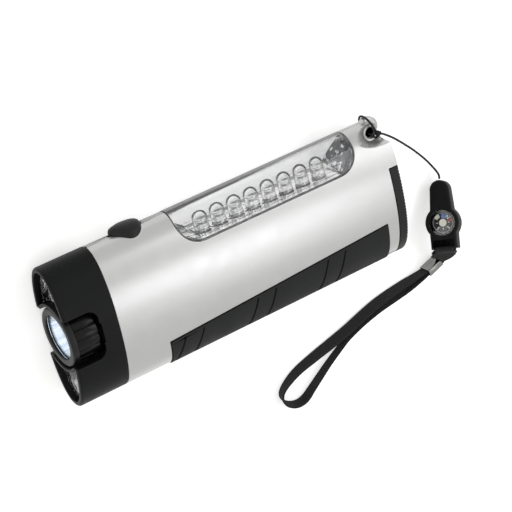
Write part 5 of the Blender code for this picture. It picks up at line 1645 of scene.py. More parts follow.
@dataclass(frozen=True)
class Section:
    """The housing's oval section, a superellipse, and the sizes that follow from it."""

    half_height: float = 0.0258
    half_width: float = 0.0107
    power: float = 2.25
    sides: int = 144

    def outline(self, offset: float = 0.0) -> list[Flat]:
        """The oval as (y, z).

        Args:
            offset: How far it is grown.

        Returns:
            Its points.
        """
        half_turn, power = math.pi / self.sides, 2 / self.power
        points = []
        for i in range(self.sides):
            up, across = math.sin(half_turn * (2 * i + 1)), math.cos(half_turn * (2 * i + 1))
            points.append((
                (self.half_height + offset) * math.copysign(abs(up) ** power, up),
                (self.half_width + offset) * math.copysign(abs(across) ** power, across),
            ))
        return points

    def level(self, y: float, z: float, offset: float = 0.0) -> float:
        """One on the oval, less inside it and more outside it."""
        high, wide = self.half_height + offset, self.half_width + offset
        return abs(y / high) ** self.power + abs(z / wide) ** self.power

    def normal(self, y: float, z: float, offset: float = 0.0) -> Vector:
        """The oval's outward direction at a point.

        Args:
            y: The point's height.
            z: How far it is to one side.
            offset: How far the oval is grown.

        Returns:
            The direction.
        """
        high, wide, bend = self.half_height + offset, self.half_width + offset, self.power - 1
        up = math.copysign(abs(y / high) ** bend, y) / high
        across = math.copysign(abs(z / wide) ** bend, z) / wide
        return Vector((0, up, across)).normalized()

    def half_width_at(self, height: float, offset: float = 0.0) -> float:
        """The oval's half width at a height."""
        share = min(abs(height) / (self.half_height + offset), 1)
        return (self.half_width + offset) * (1 - share ** self.power) ** (1 / self.power)

    def crown(self, across: float) -> float:
        """The height of the narrow edge at a distance to one side of its middle."""
        share = min(abs(across) / self.half_width, 1)
        return self.half_height * (1 - share ** self.power) ** (1 / self.power)

    def blank(self, name: str, low: float, high: float, offset: float = 0.0) -> Piece:
        """A solid of this section along X."""
        return plate(name, self.outline(offset), low, high, Axis.X)

    def crescent(self, offset: float, inner: float, side: int, steps: int = 28) -> list[Flat]:
        """The outline between the oval and a circle round the lamp's axis.

        Args:
            offset: How far the oval is grown.
            inner: The circle's radius.
            side: Which side of the axis it is on.
            steps: How many steps the circle's part has.

        Returns:
            Its points.
        """
        outer = [p for p in self.outline(offset) if side * p[0] > 0 and math.hypot(*p) > inner]
        outer.sort(key=lambda p: math.atan2(p[1], side * p[0]))
        first, last = (math.degrees(math.atan2(p[1], side * p[0])) for p in (outer[0], outer[-1]))
        return outer + [(side * y, z) for y, z in arc((0, 0), inner, last, first, steps)]

    def hold_in(self, piece: Piece) -> None:
        """Brings back the points that a bevel has thrown out past the oval.

        Args:
            piece: The piece, still in the lamp's own frame.
        """
        for vertex in piece.data.vertices:
            level = self.level(vertex.co.y, vertex.co.z)
            if level > 1:
                vertex.co.yz = vertex.co.yz * level ** (-1 / self.power)

    def polish(self, piece: Piece, offset: float = 0.0, level_gap: float = 0.004) -> Piece:
        """Gives the oval's own normals to a piece's outer wall, so that its long faces shade evenly.

        Args:
            piece: The piece, still in the lamp's own frame.
            offset: How far its wall stands outside the oval.
            level_gap: How far from the oval a face still belongs to it.

        Returns:
            The piece.
        """
        mesh = piece.data
        normals = [Vector(corner.vector) for corner in mesh.corner_normals]
        on_wall: set[int] = set()
        near = [abs(self.level(point.co.y, point.co.z, offset) - 1) < level_gap for point in mesh.vertices]
        for face in mesh.polygons:
            middle = face.center
            along_wall = face.normal.dot(self.normal(middle.y, middle.z, offset)) > 0.9
            if along_wall and all(near[index] for index in face.vertices):
                on_wall.update(face.vertices)
        for face in mesh.polygons:
            for loop, index in zip(face.loop_indices, face.vertices):
                if index in on_wall:
                    place = mesh.vertices[index].co
                    true = self.normal(place.y, place.z, offset)
                    if face.normal.dot(true) > 0.8:
                        normals[loop] = true
        mesh.normals_split_custom_set(normals)
        return piece


@dataclass
class Assembly:
    """What every sub-assembly of the lamp shares: the section, the common sizes and its seat in the frame."""

    section: Section = field(default_factory=Section)
    length: float = 0.1368
    head_length: float = 0.0184
    wall: float = 0.0018
    gap: float = 0.0003
    overrun: float = 0.002
    seat: Place = (-0.0684, -0.0011, 0.0107)

    @property
    def deep(self) -> float:
        """Half the reach of a cutter that goes right through."""
        return self.section.half_width + self.overrun

    def seated(self, piece: Piece) -> Piece:
        """Moves a piece from the lamp's own frame to the part's."""
        return settle(piece, Matrix.Translation(self.seat))

    def fit(
        self, piece: Piece, finish: Finish, name: str, slot: str, *nodes: str, body: str = "lamp"
    ) -> Piece:
        """Seats a finished piece in the part and dresses it."""
        return dress(self.seated(piece), finish.material(name), body, slot, *nodes)

    def through(self, name: str, outline: Iterable[Flat]) -> Piece:
        """A cutter right through both wide sides."""
        return plate(name, outline, -self.deep, self.deep, Axis.Z)


# Housing


@dataclass
class Housing(Assembly):
    """The two silver half shells, the strips in their seam and the screws that hold them."""

    rear_block: float = 0.1226
    rear_bottom: float = 0.0090
    rear_inset: float = 0.0004
    door_length: float = 0.0041
    door_top: float = 0.0094
    corner_round: float = 0.005
    screw_places: tuple[Flat, ...] = ((0.0270, -0.0140), (0.0700, 0.0010), (0.1276, 0.0138))
    boss_radius: float = 0.0031
    pilot_radius: float = 0.0014
    pilot_end: float = 0.0063
    seat_radius: float = 0.0024
    seat_floor: float = 0.0070
    screw_reach: Flat = (-0.0073, 0.0050)
    hole_place: Flat = (0.1334, 0.0212)
    hole_radius: float = 0.0021
    web_half: float = 0.0013
    scoop_radius: float = 0.0029
    scoop_depth: float = 0.0110
    scoop_growth: Flat = (1.61, 0.74)
    scoop_lean: Flat = (0.10, 0.72)
    eyelet_centre: Flat = (0.1334, 0.0233)
    eyelet_radius: float = 0.00385
    eyelet_half: float = 0.0012
    strip_half: float = 0.00045
    strip_depth: float = 0.0026
    strip_drop: float = 0.00005
    strip_ends: tuple[Flat, ...] = ((0.0187, 0.0268), (0.0398, 0.0484))
    window: tuple[float, float, float, float] = (0.0484, 0.1220, 0.0142, 0.0086)
    grip_bed: float = -0.0012
    edge: float = 0.00022

    def window_outline(self, inset: float = 0.0) -> list[Flat]:
        """The side window as seen on the wide side.

        Args:
            inset: How far it is drawn in.

        Returns:
            Its points.
        """
        front, rear, sill, corner = self.window
        front, rear, sill, corner = front + inset, rear - inset, sill + inset, corner - inset
        top = self.section.half_height + self.overrun
        points = [(front, top)] + arc((front + corner, sill + corner), corner, 180, 270, 20)
        return points + arc((rear - corner, sill + corner), corner, 270, 360, 20) + [(rear, top)]

    def corner_cutter(self, centre: Flat, radius: float, side: int) -> Piece:
        """What rounds a rear corner: the square outside an arc.

        Args:
            centre: The arc's centre.
            radius: Its radius.
            side: 1 for an upper corner, -1 for a lower one.

        Returns:
            The cutter.
        """
        (x, y), reach = centre, radius + self.overrun
        outline = arc(centre, radius, 90 * side, 0, 20)
        outline += [(x + reach, y), (x + reach, y + side * reach), (x, y + side * reach)]
        return self.through("corner_cutter", outline)

    def scoop(self, side: int) -> Piece:
        """The leaning cone that thins the corner round the lanyard hole on one wide side.

        Args:
            side: Which wide side.

        Returns:
            The cutter.
        """
        deselect()
        x, y = self.hole_place
        bpy.ops.mesh.primitive_circle_add(
            vertices=64, radius=self.scoop_radius, fill_type="NGON", location=(0, 0, 0)
        )
        cone = settle(named("scoop"), Matrix.Translation((x, y, side * self.web_half)))
        lean_x, lean_y = (self.scoop_depth * lean for lean in self.scoop_lean)
        shift = (lean_x, lean_y, side * self.scoop_depth)
        grow = [1 + self.scoop_depth * share / self.scoop_radius for share in self.scoop_growth]
        open_up(cone)
        bpy.ops.mesh.extrude_region_move(TRANSFORM_OT_translate={"value": shift})
        centre = (x + lean_x, y + lean_y, side * (self.web_half + self.scoop_depth))
        bpy.ops.transform.resize(value=(*grow, 1), center_override=centre)
        close_up()
        return tidy_mesh(cone)

    def pull_in(self, shell: Piece) -> None:
        """Brings back the points that a bevel has thrown out past the shell's rear face or round corner.

        Args:
            shell: The shell, still in the lamp's own frame.
        """
        rear = self.length - self.rear_inset
        centre = Vector((self.length - self.corner_round, self.section.half_height - self.corner_round))
        for vertex in shell.data.vertices:
            out = vertex.co.xy - centre
            if min(out) > 0 and out.length > self.corner_round:
                vertex.co.xy = centre + out.normalized() * self.corner_round
            vertex.co.x = min(vertex.co.x, rear)

    def eyelet(self) -> None:
        """The rounded lug round the lanyard hole, which stands a little above the narrow edge."""
        half = self.eyelet_half
        lug = rod("lanyard_eyelet", self.eyelet_radius, -half, half, Axis.Z, self.eyelet_centre, 72)
        carve(lug, rod("hole", self.hole_radius, -self.deep, self.deep, Axis.Z, self.hole_place, 56))
        soften(lug, 0.0005, 3, 40)
        shade(lug, 40)
        self.fit(lug, PAINT, "silver_paint", "silver_paint")

    def body(self) -> Piece:
        """Both shells as one hollow solid with every opening that they share.

        Returns:
            The solid.
        """
        rear, high = self.length + self.overrun, self.section.half_height
        top = high + self.overrun
        body = self.section.blank("shell_body", self.head_length, self.length - self.rear_inset)
        cavity = self.section.blank("cavity", self.head_length - self.overrun, self.rear_block, -self.wall)
        for place in self.screw_places[:2]:
            carve(cavity, rod("boss", self.boss_radius, -self.deep, self.deep, Axis.Z, place))
        mouth = self.section.blank("mouth", self.rear_block - self.wall, rear, -self.wall)
        low = (0, self.rear_bottom, -self.deep)
        carve(mouth, block("above", low, (rear + self.overrun, 2 * high, self.deep)))
        room = (self.length - self.door_length - self.gap, -top, -self.deep)
        side = self.strip_half + self.gap
        channel = (self.head_length - self.overrun, high - self.strip_depth - self.gap, -side)
        grip = self.through("grip_recess", RubberGrip().outline(self.gap))
        carve(grip, self.section.blank("bed", 0, self.length, self.grip_bed))
        centre = (self.length - self.corner_round, high - self.corner_round)
        for cutter in (
            cavity,
            mouth,
            block("door_room", room, (rear, self.door_top + self.gap, self.deep)),
            self.through("window", self.window_outline()),
            plate("button_opening", PushButton().pear(self.gap), 0, top, Axis.Y),
            block("strip_channel", channel, (self.window[0] + self.gap, top, side)),
            grip,
            self.corner_cutter(centre, self.corner_round, 1),
            rod("hole", self.hole_radius, -self.deep, self.deep, Axis.Z, self.hole_place, 56),
        ):
            carve(body, cutter)
        return body

    def shells(self) -> None:
        """Splits the body into its two halves, scoops the corner and drills the screw seats."""
        whole = self.body()
        reach = self.section.half_height + self.overrun
        for name, side in (("shell_near", 1), ("shell_far", -1)):
            take(whole)
            bpy.ops.object.duplicate()
            shell = named(f"{name}_painted")
            low, high = sorted((side * self.gap / 2, -side * self.deep))
            carve(shell, block("half", (0, -reach, low), (self.length + self.overrun, reach, high)))
            carve(shell, self.scoop(side))
            for place in self.screw_places:
                carve(shell, rod("pilot", self.pilot_radius, -self.deep, self.pilot_end, Axis.Z, place, 24))
                if side < 0:
                    floor = -self.seat_floor
                    carve(shell, rod("seat", self.seat_radius, -self.deep, floor, Axis.Z, place, 32))
            soften(shell, self.edge, 2, 34)
            self.pull_in(shell)
            self.section.hold_in(shell)
            shade(shell, 30)
            self.section.polish(shell)
            self.fit(shell, PAINT, "silver_paint", "silver_paint", name)
        bpy.data.objects.remove(whole, do_unlink=True)
        self.eyelet()

    def strips(self) -> None:
        """The bright strips in the seam, in front of the button and behind it."""
        high, half = self.section.half_height, self.strip_half
        bright = SilverPaint(colour=(0.40, 0.40, 0.40), roughness=0.26)
        for word, (front, rear) in zip(("front", "rear"), self.strip_ends):
            low = (front, high - self.strip_depth, -half)
            strip = block(f"seam_strip_{word}_bar", low, (rear, high - self.strip_drop, half))
            soften(strip, 0.00012, 2)
            shade(strip)
            self.fit(strip, bright, "seam_strip", "silver_paint", f"seam_strip_{word}")

    def screws(self) -> None:
        """The three screws that draw the shells together."""
        for i, place in enumerate(self.screw_places):
            piece = Screw().build(f"shell_screw_{i + 1}_cross", *self.screw_reach, Axis.Z, place)
            self.fit(piece, STEEL, "screw_steel", "plated_steel", f"shell_screw_{i + 1}")


@dataclass(frozen=True)
class Screw:
    """A pan screw with a cross recess and a threaded shank."""

    head: tuple[Flat, ...] = (
        (0, -0.0013), (0.0013, -0.0013), (0.0019, -0.0010), (0.0021, -0.0004), (0.0021, 0), (0.00095, 0),
    )
    root: float = 0.00088
    crest: float = 0.00108
    threads: int = 9
    tip_radius: float = 0.0005
    cross: Flat = (0.0012, 0.00022)
    cross_heights: Flat = (0.0007, 0.0020)

    def build(self, name: str, seat: float, tip: float, axis: Axis, centre: Flat) -> Piece:
        """Turns the screw and cuts its cross.

        Args:
            name: The piece's name.
            seat: Where its head sits along the axis.
            tip: Where its shank ends.
            axis: The axis that it lies along.
            centre: Its place in the other two axes.

        Returns:
            The screw.
        """
        reach, flip = abs(tip - seat), tip < seat
        profile = list(self.head)
        for i in range(self.threads):
            for share, radius in ((0.1, self.root), (0.5, self.crest), (0.9, self.root)):
                profile.append((radius, reach * (i + share) / self.threads))
        profile += [(self.tip_radius, reach), (0, reach)]
        piece = turned(name, profile, axis, centre, 20, flip, seat)
        way = 1 if flip else -1
        low, high = sorted(seat + way * height for height in self.cross_heights)
        for half in (self.cross, self.cross[::-1]):
            carve(piece, plate("cross", oblong(centre, half), low, high, axis))
        return shade(piece, 35)


# Nose


@dataclass
class Nose(Assembly):
    """The black nose with its bore, thumb cut-outs and two lamp pockets."""

    bore_radius: float = 0.0112
    bore_depth: float = 0.0124
    bore_floor: float = 0.0021
    cutout_half: float = 0.0088
    cutout_depth: float = 0.0119
    cutout_corner: float = 0.0034
    rim_round: float = 0.0009
    pocket_radius: float = 0.0124
    pocket_depth: float = 0.0085
    lamp_height: float = 0.0182
    reflector_depth: float = 0.0040
    lens_inset: float = 0.0021
    lens_thickness: float = 0.0010
    dish_radius: float = 0.0048
    dish_rings: tuple[Flat, ...] = ((0.93, 0.0011), (0.80, 0.0024))
    dish_floor: float = 0.0028
    fan_place: Flat = (0.0022, 0.0058)
    fan_radii: Flat = (0.0023, 0.0008)
    fan_depth: float = 0.0026
    lamp_hole: float = 0.0032
    lamp_reach: float = 0.0045
    screw_height: float = 0.0170
    screw_reach: Flat = (0.0207, 0.0137)
    boss_radius: float = 0.0026
    pilot_radius: float = 0.0014
    pilot_start: float = 0.0134
    spigot_hole: float = 0.0029
    edge: float = 0.00022

    def shell(self) -> None:
        """The nose moulding."""
        head = merge_flats(self.section.blank("head_moulding", 0, self.head_length - self.gap))
        round_edges(head, lambda a, b: max(a.x, b.x) < 1e-6, self.rim_round, 5)
        x, y = self.cutout_depth - self.cutout_corner, self.cutout_half - self.cutout_corner
        thumb = [(-self.overrun, -self.cutout_half)] + arc((x, -y), self.cutout_corner, 270, 360, 14)
        thumb += arc((x, y), self.cutout_corner, 0, 90, 14) + [(-self.overrun, self.cutout_half)]
        floor, rear = self.bore_depth + self.bore_floor, self.head_length + self.overrun
        back_room = self.section.blank("back_room", floor, rear, -self.wall)
        for side in (1, -1):
            place = (side * self.screw_height, 0)
            carve(back_room, rod("boss", self.boss_radius, 0, self.length, Axis.X, place, 24))
        cutters = [rod("bore", self.bore_radius, -self.overrun, self.bore_depth, Axis.X, sides=96)]
        cutters.append(self.through("thumb", thumb))
        for side in (1, -1):
            pocket = self.section.crescent(-self.wall, self.pocket_radius, side)
            cutters.append(plate("pocket", pocket, -self.overrun, self.pocket_depth, Axis.X))
            place = (side * self.screw_height, 0)
            cutters.append(rod("pilot", self.pilot_radius, self.pilot_start, self.length, Axis.X, place, 20))
        cutters += [back_room, rod("spigot_hole", self.spigot_hole, 0, self.length, Axis.X, sides=32)]
        for cutter in cutters:
            carve(head, cutter)
        soften(head, self.edge, 2, 34)
        self.section.hold_in(head)
        shade(head, 42)
        self.section.polish(head)
        self.fit(head, BLACK, "nose_black", "black_plastic", "head_shell")

    def pocket(self, side: int, word: str) -> None:
        """One pocket's faceted reflector, short diode and clear lens.

        Args:
            side: 1 for the upper pocket, -1 for the lower one.
            word: Which of the two, for the names.
        """
        outline = self.section.crescent(-self.wall - self.gap, self.pocket_radius + self.gap, side)
        centre = (side * self.lamp_height, 0.0)
        back = self.pocket_depth - self.gap
        front = back - self.reflector_depth
        reflector = plate(f"{word}_pocket_dish", outline, front, back, Axis.X)
        bowl = [(0, front - self.gap), (self.dish_radius, front - self.gap)]
        bowl += [(self.dish_radius * share, front + depth) for share, depth in self.dish_rings]
        bowl += [(self.dish_floor, back - self.gap), (0, back - self.gap)]
        carve(reflector, turned("bowl", bowl, Axis.X, centre, 18))
        for fan in (-1, 1):
            place = (centre[0] - side * self.fan_place[0], fan * self.fan_place[1])
            wide, narrow = self.fan_radii
            start, end = front - self.gap, front + self.fan_depth
            carve(reflector, rod("fan", wide, start, end, Axis.X, place, 8, narrow))
        carve(reflector, rod("lamp_hole", self.lamp_hole, 0, self.pocket_depth, Axis.X, centre, 32))
        soften(reflector, 0.00008, 1, 50)
        shade(reflector, 12)
        plating = Plating(colour=(0.93, 0.93, 0.93), roughness=0.24)
        self.fit(reflector, plating, "pocket_plating", "plated_plastic", f"{word}_pocket_reflector")
        Diode(name=f"{word}_pocket", foot=(back, *centre), height=self.lamp_reach).build(f"{word}_pocket_led")
        lens_end = self.lens_inset + self.lens_thickness
        lens = plate(f"{word}_pocket_window", outline, self.lens_inset, lens_end, Axis.X)
        soften(lens, 0.00012, 2)
        shade(lens)
        self.fit(lens, CLEAR, "pocket_clear", "clear_plastic", f"{word}_pocket_lens")

    def pockets(self) -> None:
        """Both lamp pockets."""
        self.pocket(1, "upper")
        self.pocket(-1, "lower")

    def screws(self) -> None:
        """The two screws that hold the nose on its bulkhead."""
        for side, word in ((1, "upper"), (-1, "lower")):
            place = (side * self.screw_height, 0)
            piece = Screw().build(f"head_screw_{word}_cross", *self.screw_reach, Axis.X, place)
            self.fit(piece, STEEL, "screw_steel", "plated_steel", f"head_screw_{word}")


@dataclass
class Diode(Assembly):
    """A round diode: clear resin with its dome and flange, and in it two leads, their cup and the chip."""

    name: str = "lamp"
    foot: Place = (0.0, 0.0, 0.0)
    height: float = 0.0053
    axis: Axis = Axis.X
    flip: bool = True
    lit: float = 0.0
    radius: float = 0.0025
    flange_radius: float = 0.0029
    flange_height: float = 0.0009
    legs: tuple[Place, ...] = ((-0.00075, 0.00095, 1.0), (0.00115, 0.00045, 0.94))
    leg_foot: float = 0.0002
    leg_half: float = 0.00025
    cup_share: float = 0.56
    cup_side: float = -0.0004
    cup_heights: Flat = (-0.0006, 0.0007)
    cup_radii: Flat = (0.0006, 0.00105)
    hollow_heights: Flat = (0.0001, 0.0009)
    hollow_radii: Flat = (0.0004, 0.00085)
    chip_heights: Flat = (0.0001, 0.00042)
    chip_radius: float = 0.0010

    @property
    def start(self) -> float:
        """Where the diode's foot stands along its axis."""
        return self.foot[0 if self.axis is Axis.X else 1]

    def span(self, low: float, high: float) -> list[float]:
        """Two of the diode's heights as places along its axis, in order."""
        way = -1 if self.flip else 1
        return sorted(self.start + way * height for height in (low, high))

    def beside(self, shift: float = 0.0) -> Flat:
        """The diode's middle across its axis, moved toward one wide side."""
        x, y, z = self.foot
        return (y, z + shift) if self.axis is Axis.X else (z + shift, x)

    def cone(self, name: str, heights: Flat, radii: Flat, sides: int = 20) -> Piece:
        """A round form at the cup that widens away from the diode's foot.

        Args:
            name: The piece's name.
            heights: Where it starts and ends, from the cup's place.
            radii: Its radii there.
            sides: How many sides it has.

        Returns:
            The new piece.
        """
        low, high = self.span(*(self.height * self.cup_share + height for height in heights))
        near, far = radii[::-1] if self.flip else radii
        return rod(name, near, low, high, self.axis, self.beside(self.cup_side), sides, far)

    def build(self, node: str) -> None:
        """Builds the resin, the leads and the chip.

        Args:
            node: The node that the resin replaces.
        """
        dome = [(max(r, 0), h) for r, h in arc((0, self.height - self.radius), self.radius, 90, 0, 9)]
        wide, tall = self.flange_radius, self.flange_height
        profile = dome + [(self.radius, tall), (wide, tall), (wide, 0), (0, 0)]
        resin = turned(f"{self.name}_resin", profile, self.axis, self.beside(), 32, self.flip, self.start)
        shade(resin, 40)
        self.fit(resin, RESIN, "diode_resin", "diode_resin", node)
        parts = []
        for shift, wide, share in self.legs:
            half = (self.leg_half, wide / 2) if self.axis is Axis.X else (wide / 2, self.leg_half)
            low, high = self.span(self.leg_foot, self.height * self.cup_share * share)
            parts.append(plate(f"{self.name}_leg", oblong(self.beside(shift), half), low, high, self.axis))
        cup = self.cone(f"{self.name}_cup", self.cup_heights, self.cup_radii)
        parts.append(carve(cup, self.cone("hollow", self.hollow_heights, self.hollow_radii)))
        leads = shade(joined(parts, f"{self.name}_leads"), 30)
        self.fit(leads, PlatedSteel(colour=(0.82, 0.82, 0.83)), "lead_steel", "plated_steel")
        chip = self.cone(f"{self.name}_chip", self.chip_heights, (self.chip_radius, self.chip_radius), 16)
        self.fit(chip, Phosphor(glow=self.lit), "phosphor", "diode_resin")


# Twist lamp


@dataclass
class TwistLamp(Assembly):
    """The ribbed barrel with its bezel, lens and reflector, on a fixed seat that carries the diode."""

    barrel_radius: float = 0.0097
    rib_height: float = 0.0004
    ribs: int = 16
    rib_shape: tuple[Flat, ...] = (
        (0.0, 0.62), (0.03, 0.88), (0.08, 1.0), (0.41, 1.0), (0.74, 1.0), (0.79, 0.88), (0.82, 0.62),
    )
    rib_line: Flat = (0.87, 0.95)
    barrel_front: float = 0.0029
    barrel_end: float = 0.0109
    floor: float = 0.0014
    inner_radius: float = 0.0088
    bezel_front: float = 0.0004
    bezel_back: float = 0.0026
    bezel_radius: float = 0.0106
    aperture: float = 0.0078
    lens_radius: float = 0.0086
    lip: float = 0.0007
    lip_round: float = 0.0006
    bezel_round: float = 0.0009
    lens_ends: Flat = (0.0014, 0.0025)
    lens_dome: float = 0.0003
    bowl_front: float = 0.0032
    bowl_steps: int = 10
    bowl_rim: float = 0.0006
    bowl_wall: float = 0.0005
    bowl_radii: Flat = (0.0033, 0.0079)
    spigot: float = 0.0026
    spigot_tip: float = 0.0092
    spigot_round: float = 0.0003
    collar: float = 0.0148
    collar_thickness: float = 0.0012
    collar_radius: float = 0.0055
    collar_round: float = 0.0002
    diode_foot: float = 0.0089

    def barrel(self) -> None:
        """The barrel: broad rounded ribs with fine lines between them."""
        pitch = 360 / self.ribs
        points: list[Flat] = []
        for i in range(self.ribs):
            for share, lift in self.rib_shape:
                angle = math.radians(pitch * (i + share))
                radius = self.barrel_radius + self.rib_height * lift
                points.append((radius * math.cos(angle), radius * math.sin(angle)))
            start, end = (pitch * (i + share) for share in self.rib_line)
            points += arc((0, 0), self.barrel_radius, start, end, 2)
        barrel = plate("lamp_barrel_ribbed", points, self.barrel_front, self.barrel_end, Axis.X)
        carve(barrel, rod("hollow", self.inner_radius, 0, self.barrel_end - self.floor, Axis.X, sides=64))
        carve(barrel, rod("hub", self.spigot + self.gap, 0, self.length, Axis.X, sides=32))
        soften(barrel, 0.00018, 2, 40)
        shade(barrel, 34)
        gloss = MouldedBlack((0.0035, 0.0037, 0.0042), roughness=0.24, shine=0.17, grain=0.000004, wear_and_highlight=0.3)
        self.fit(barrel, gloss, "barrel_black", "black_plastic", "lamp_barrel", body="twist_lamp")

    def bezel(self) -> None:
        """The thick ring round the lens, with a rounded lip."""
        front, back, room = self.bezel_front, self.bezel_back, self.lens_radius + self.gap
        outer, inner = self.bezel_round, self.lip_round
        ring = [(room, back), (self.bezel_radius, back)]
        ring += arc((self.bezel_radius - outer, front + outer), outer, 0, -90, 6)
        ring += arc((self.aperture + inner, front + inner), inner, -90, -180, 5)
        ring += [(self.aperture, front + self.lip), (room, front + self.lip), (room, back)]
        bezel = turned("lamp_bezel_ring", ring, Axis.X, steps=96)
        shade(bezel, 40)
        gloss = MouldedBlack((0.0060, 0.0064, 0.0070), roughness=0.36, shine=0.26, grain=0.000004, wear_and_highlight=0.3)
        self.fit(bezel, gloss, "bezel_black", "black_plastic", "lamp_bezel", body="twist_lamp")

    def lens(self) -> None:
        """The clear lens, very slightly domed inside its ring."""
        low, high = self.lens_ends
        shares = [i / 10 for i in range(11)]
        face = [(self.lens_radius * share, low + self.lens_dome * share ** 2) for share in shares]
        profile = [(self.lens_radius * share, high) for share in shares] + face[::-1]
        lens = turned("lamp_lens_clear", profile, Axis.X, steps=72)
        shade(lens, 40)
        self.fit(lens, CLEAR, "lens_clear", "clear_plastic", "lamp_lens", body="twist_lamp")

    def reflector(self) -> None:
        """The deep plated bowl in radial flats and stepped rings."""
        back, front, steps = self.barrel_end - self.floor - self.gap, self.bowl_front, self.bowl_steps
        rim, step = self.inner_radius - self.gap, front + self.bowl_rim
        narrow, mouth = self.bowl_radii
        shares = [i / steps for i in range(steps + 1)]
        depth, growth = back - front, mouth - narrow
        inner = [(narrow + growth * share ** 0.5, back - depth * share) for share in shares]
        outer = [(r + self.bowl_wall, x) for r, x in inner if x > step]
        cup = outer + [(outer[-1][0], step), (rim, step), (rim, front)] + inner[::-1] + outer[:1]
        bowl = turned("lamp_reflector_bowl", cup, Axis.X, steps=36)
        take(bowl)
        bpy.ops.object.shade_flat()
        # The bowl's glow and bluish tint are painted light.
        self.fit(bowl, LampGlow(), "painted_glow_plating", "plated_plastic", "lamp_reflector", body="twist_lamp")

    def seat_and_diode(self) -> None:
        """The fixed spigot on which the barrel turns, with a collar, and the lamp's diode."""
        flange, tip, edge = self.collar, self.spigot_tip, self.collar_round
        end, wide = flange + self.collar_thickness, self.collar_radius
        profile = [(0, end), (wide - edge, end), (wide, end - edge), (wide, flange), (self.spigot, flange)]
        profile += [(self.spigot, tip + self.spigot_round), (self.spigot - self.spigot_round, tip), (0, tip)]
        seat = turned("lamp_seat_spigot", profile, Axis.X, steps=40)
        shade(seat)
        self.fit(seat, BLACK, "nose_black", "black_plastic", "lamp_seat")
        Diode(foot=(self.diode_foot, 0.0, 0.0), lit=2.5).build("lamp_led")


# Side light


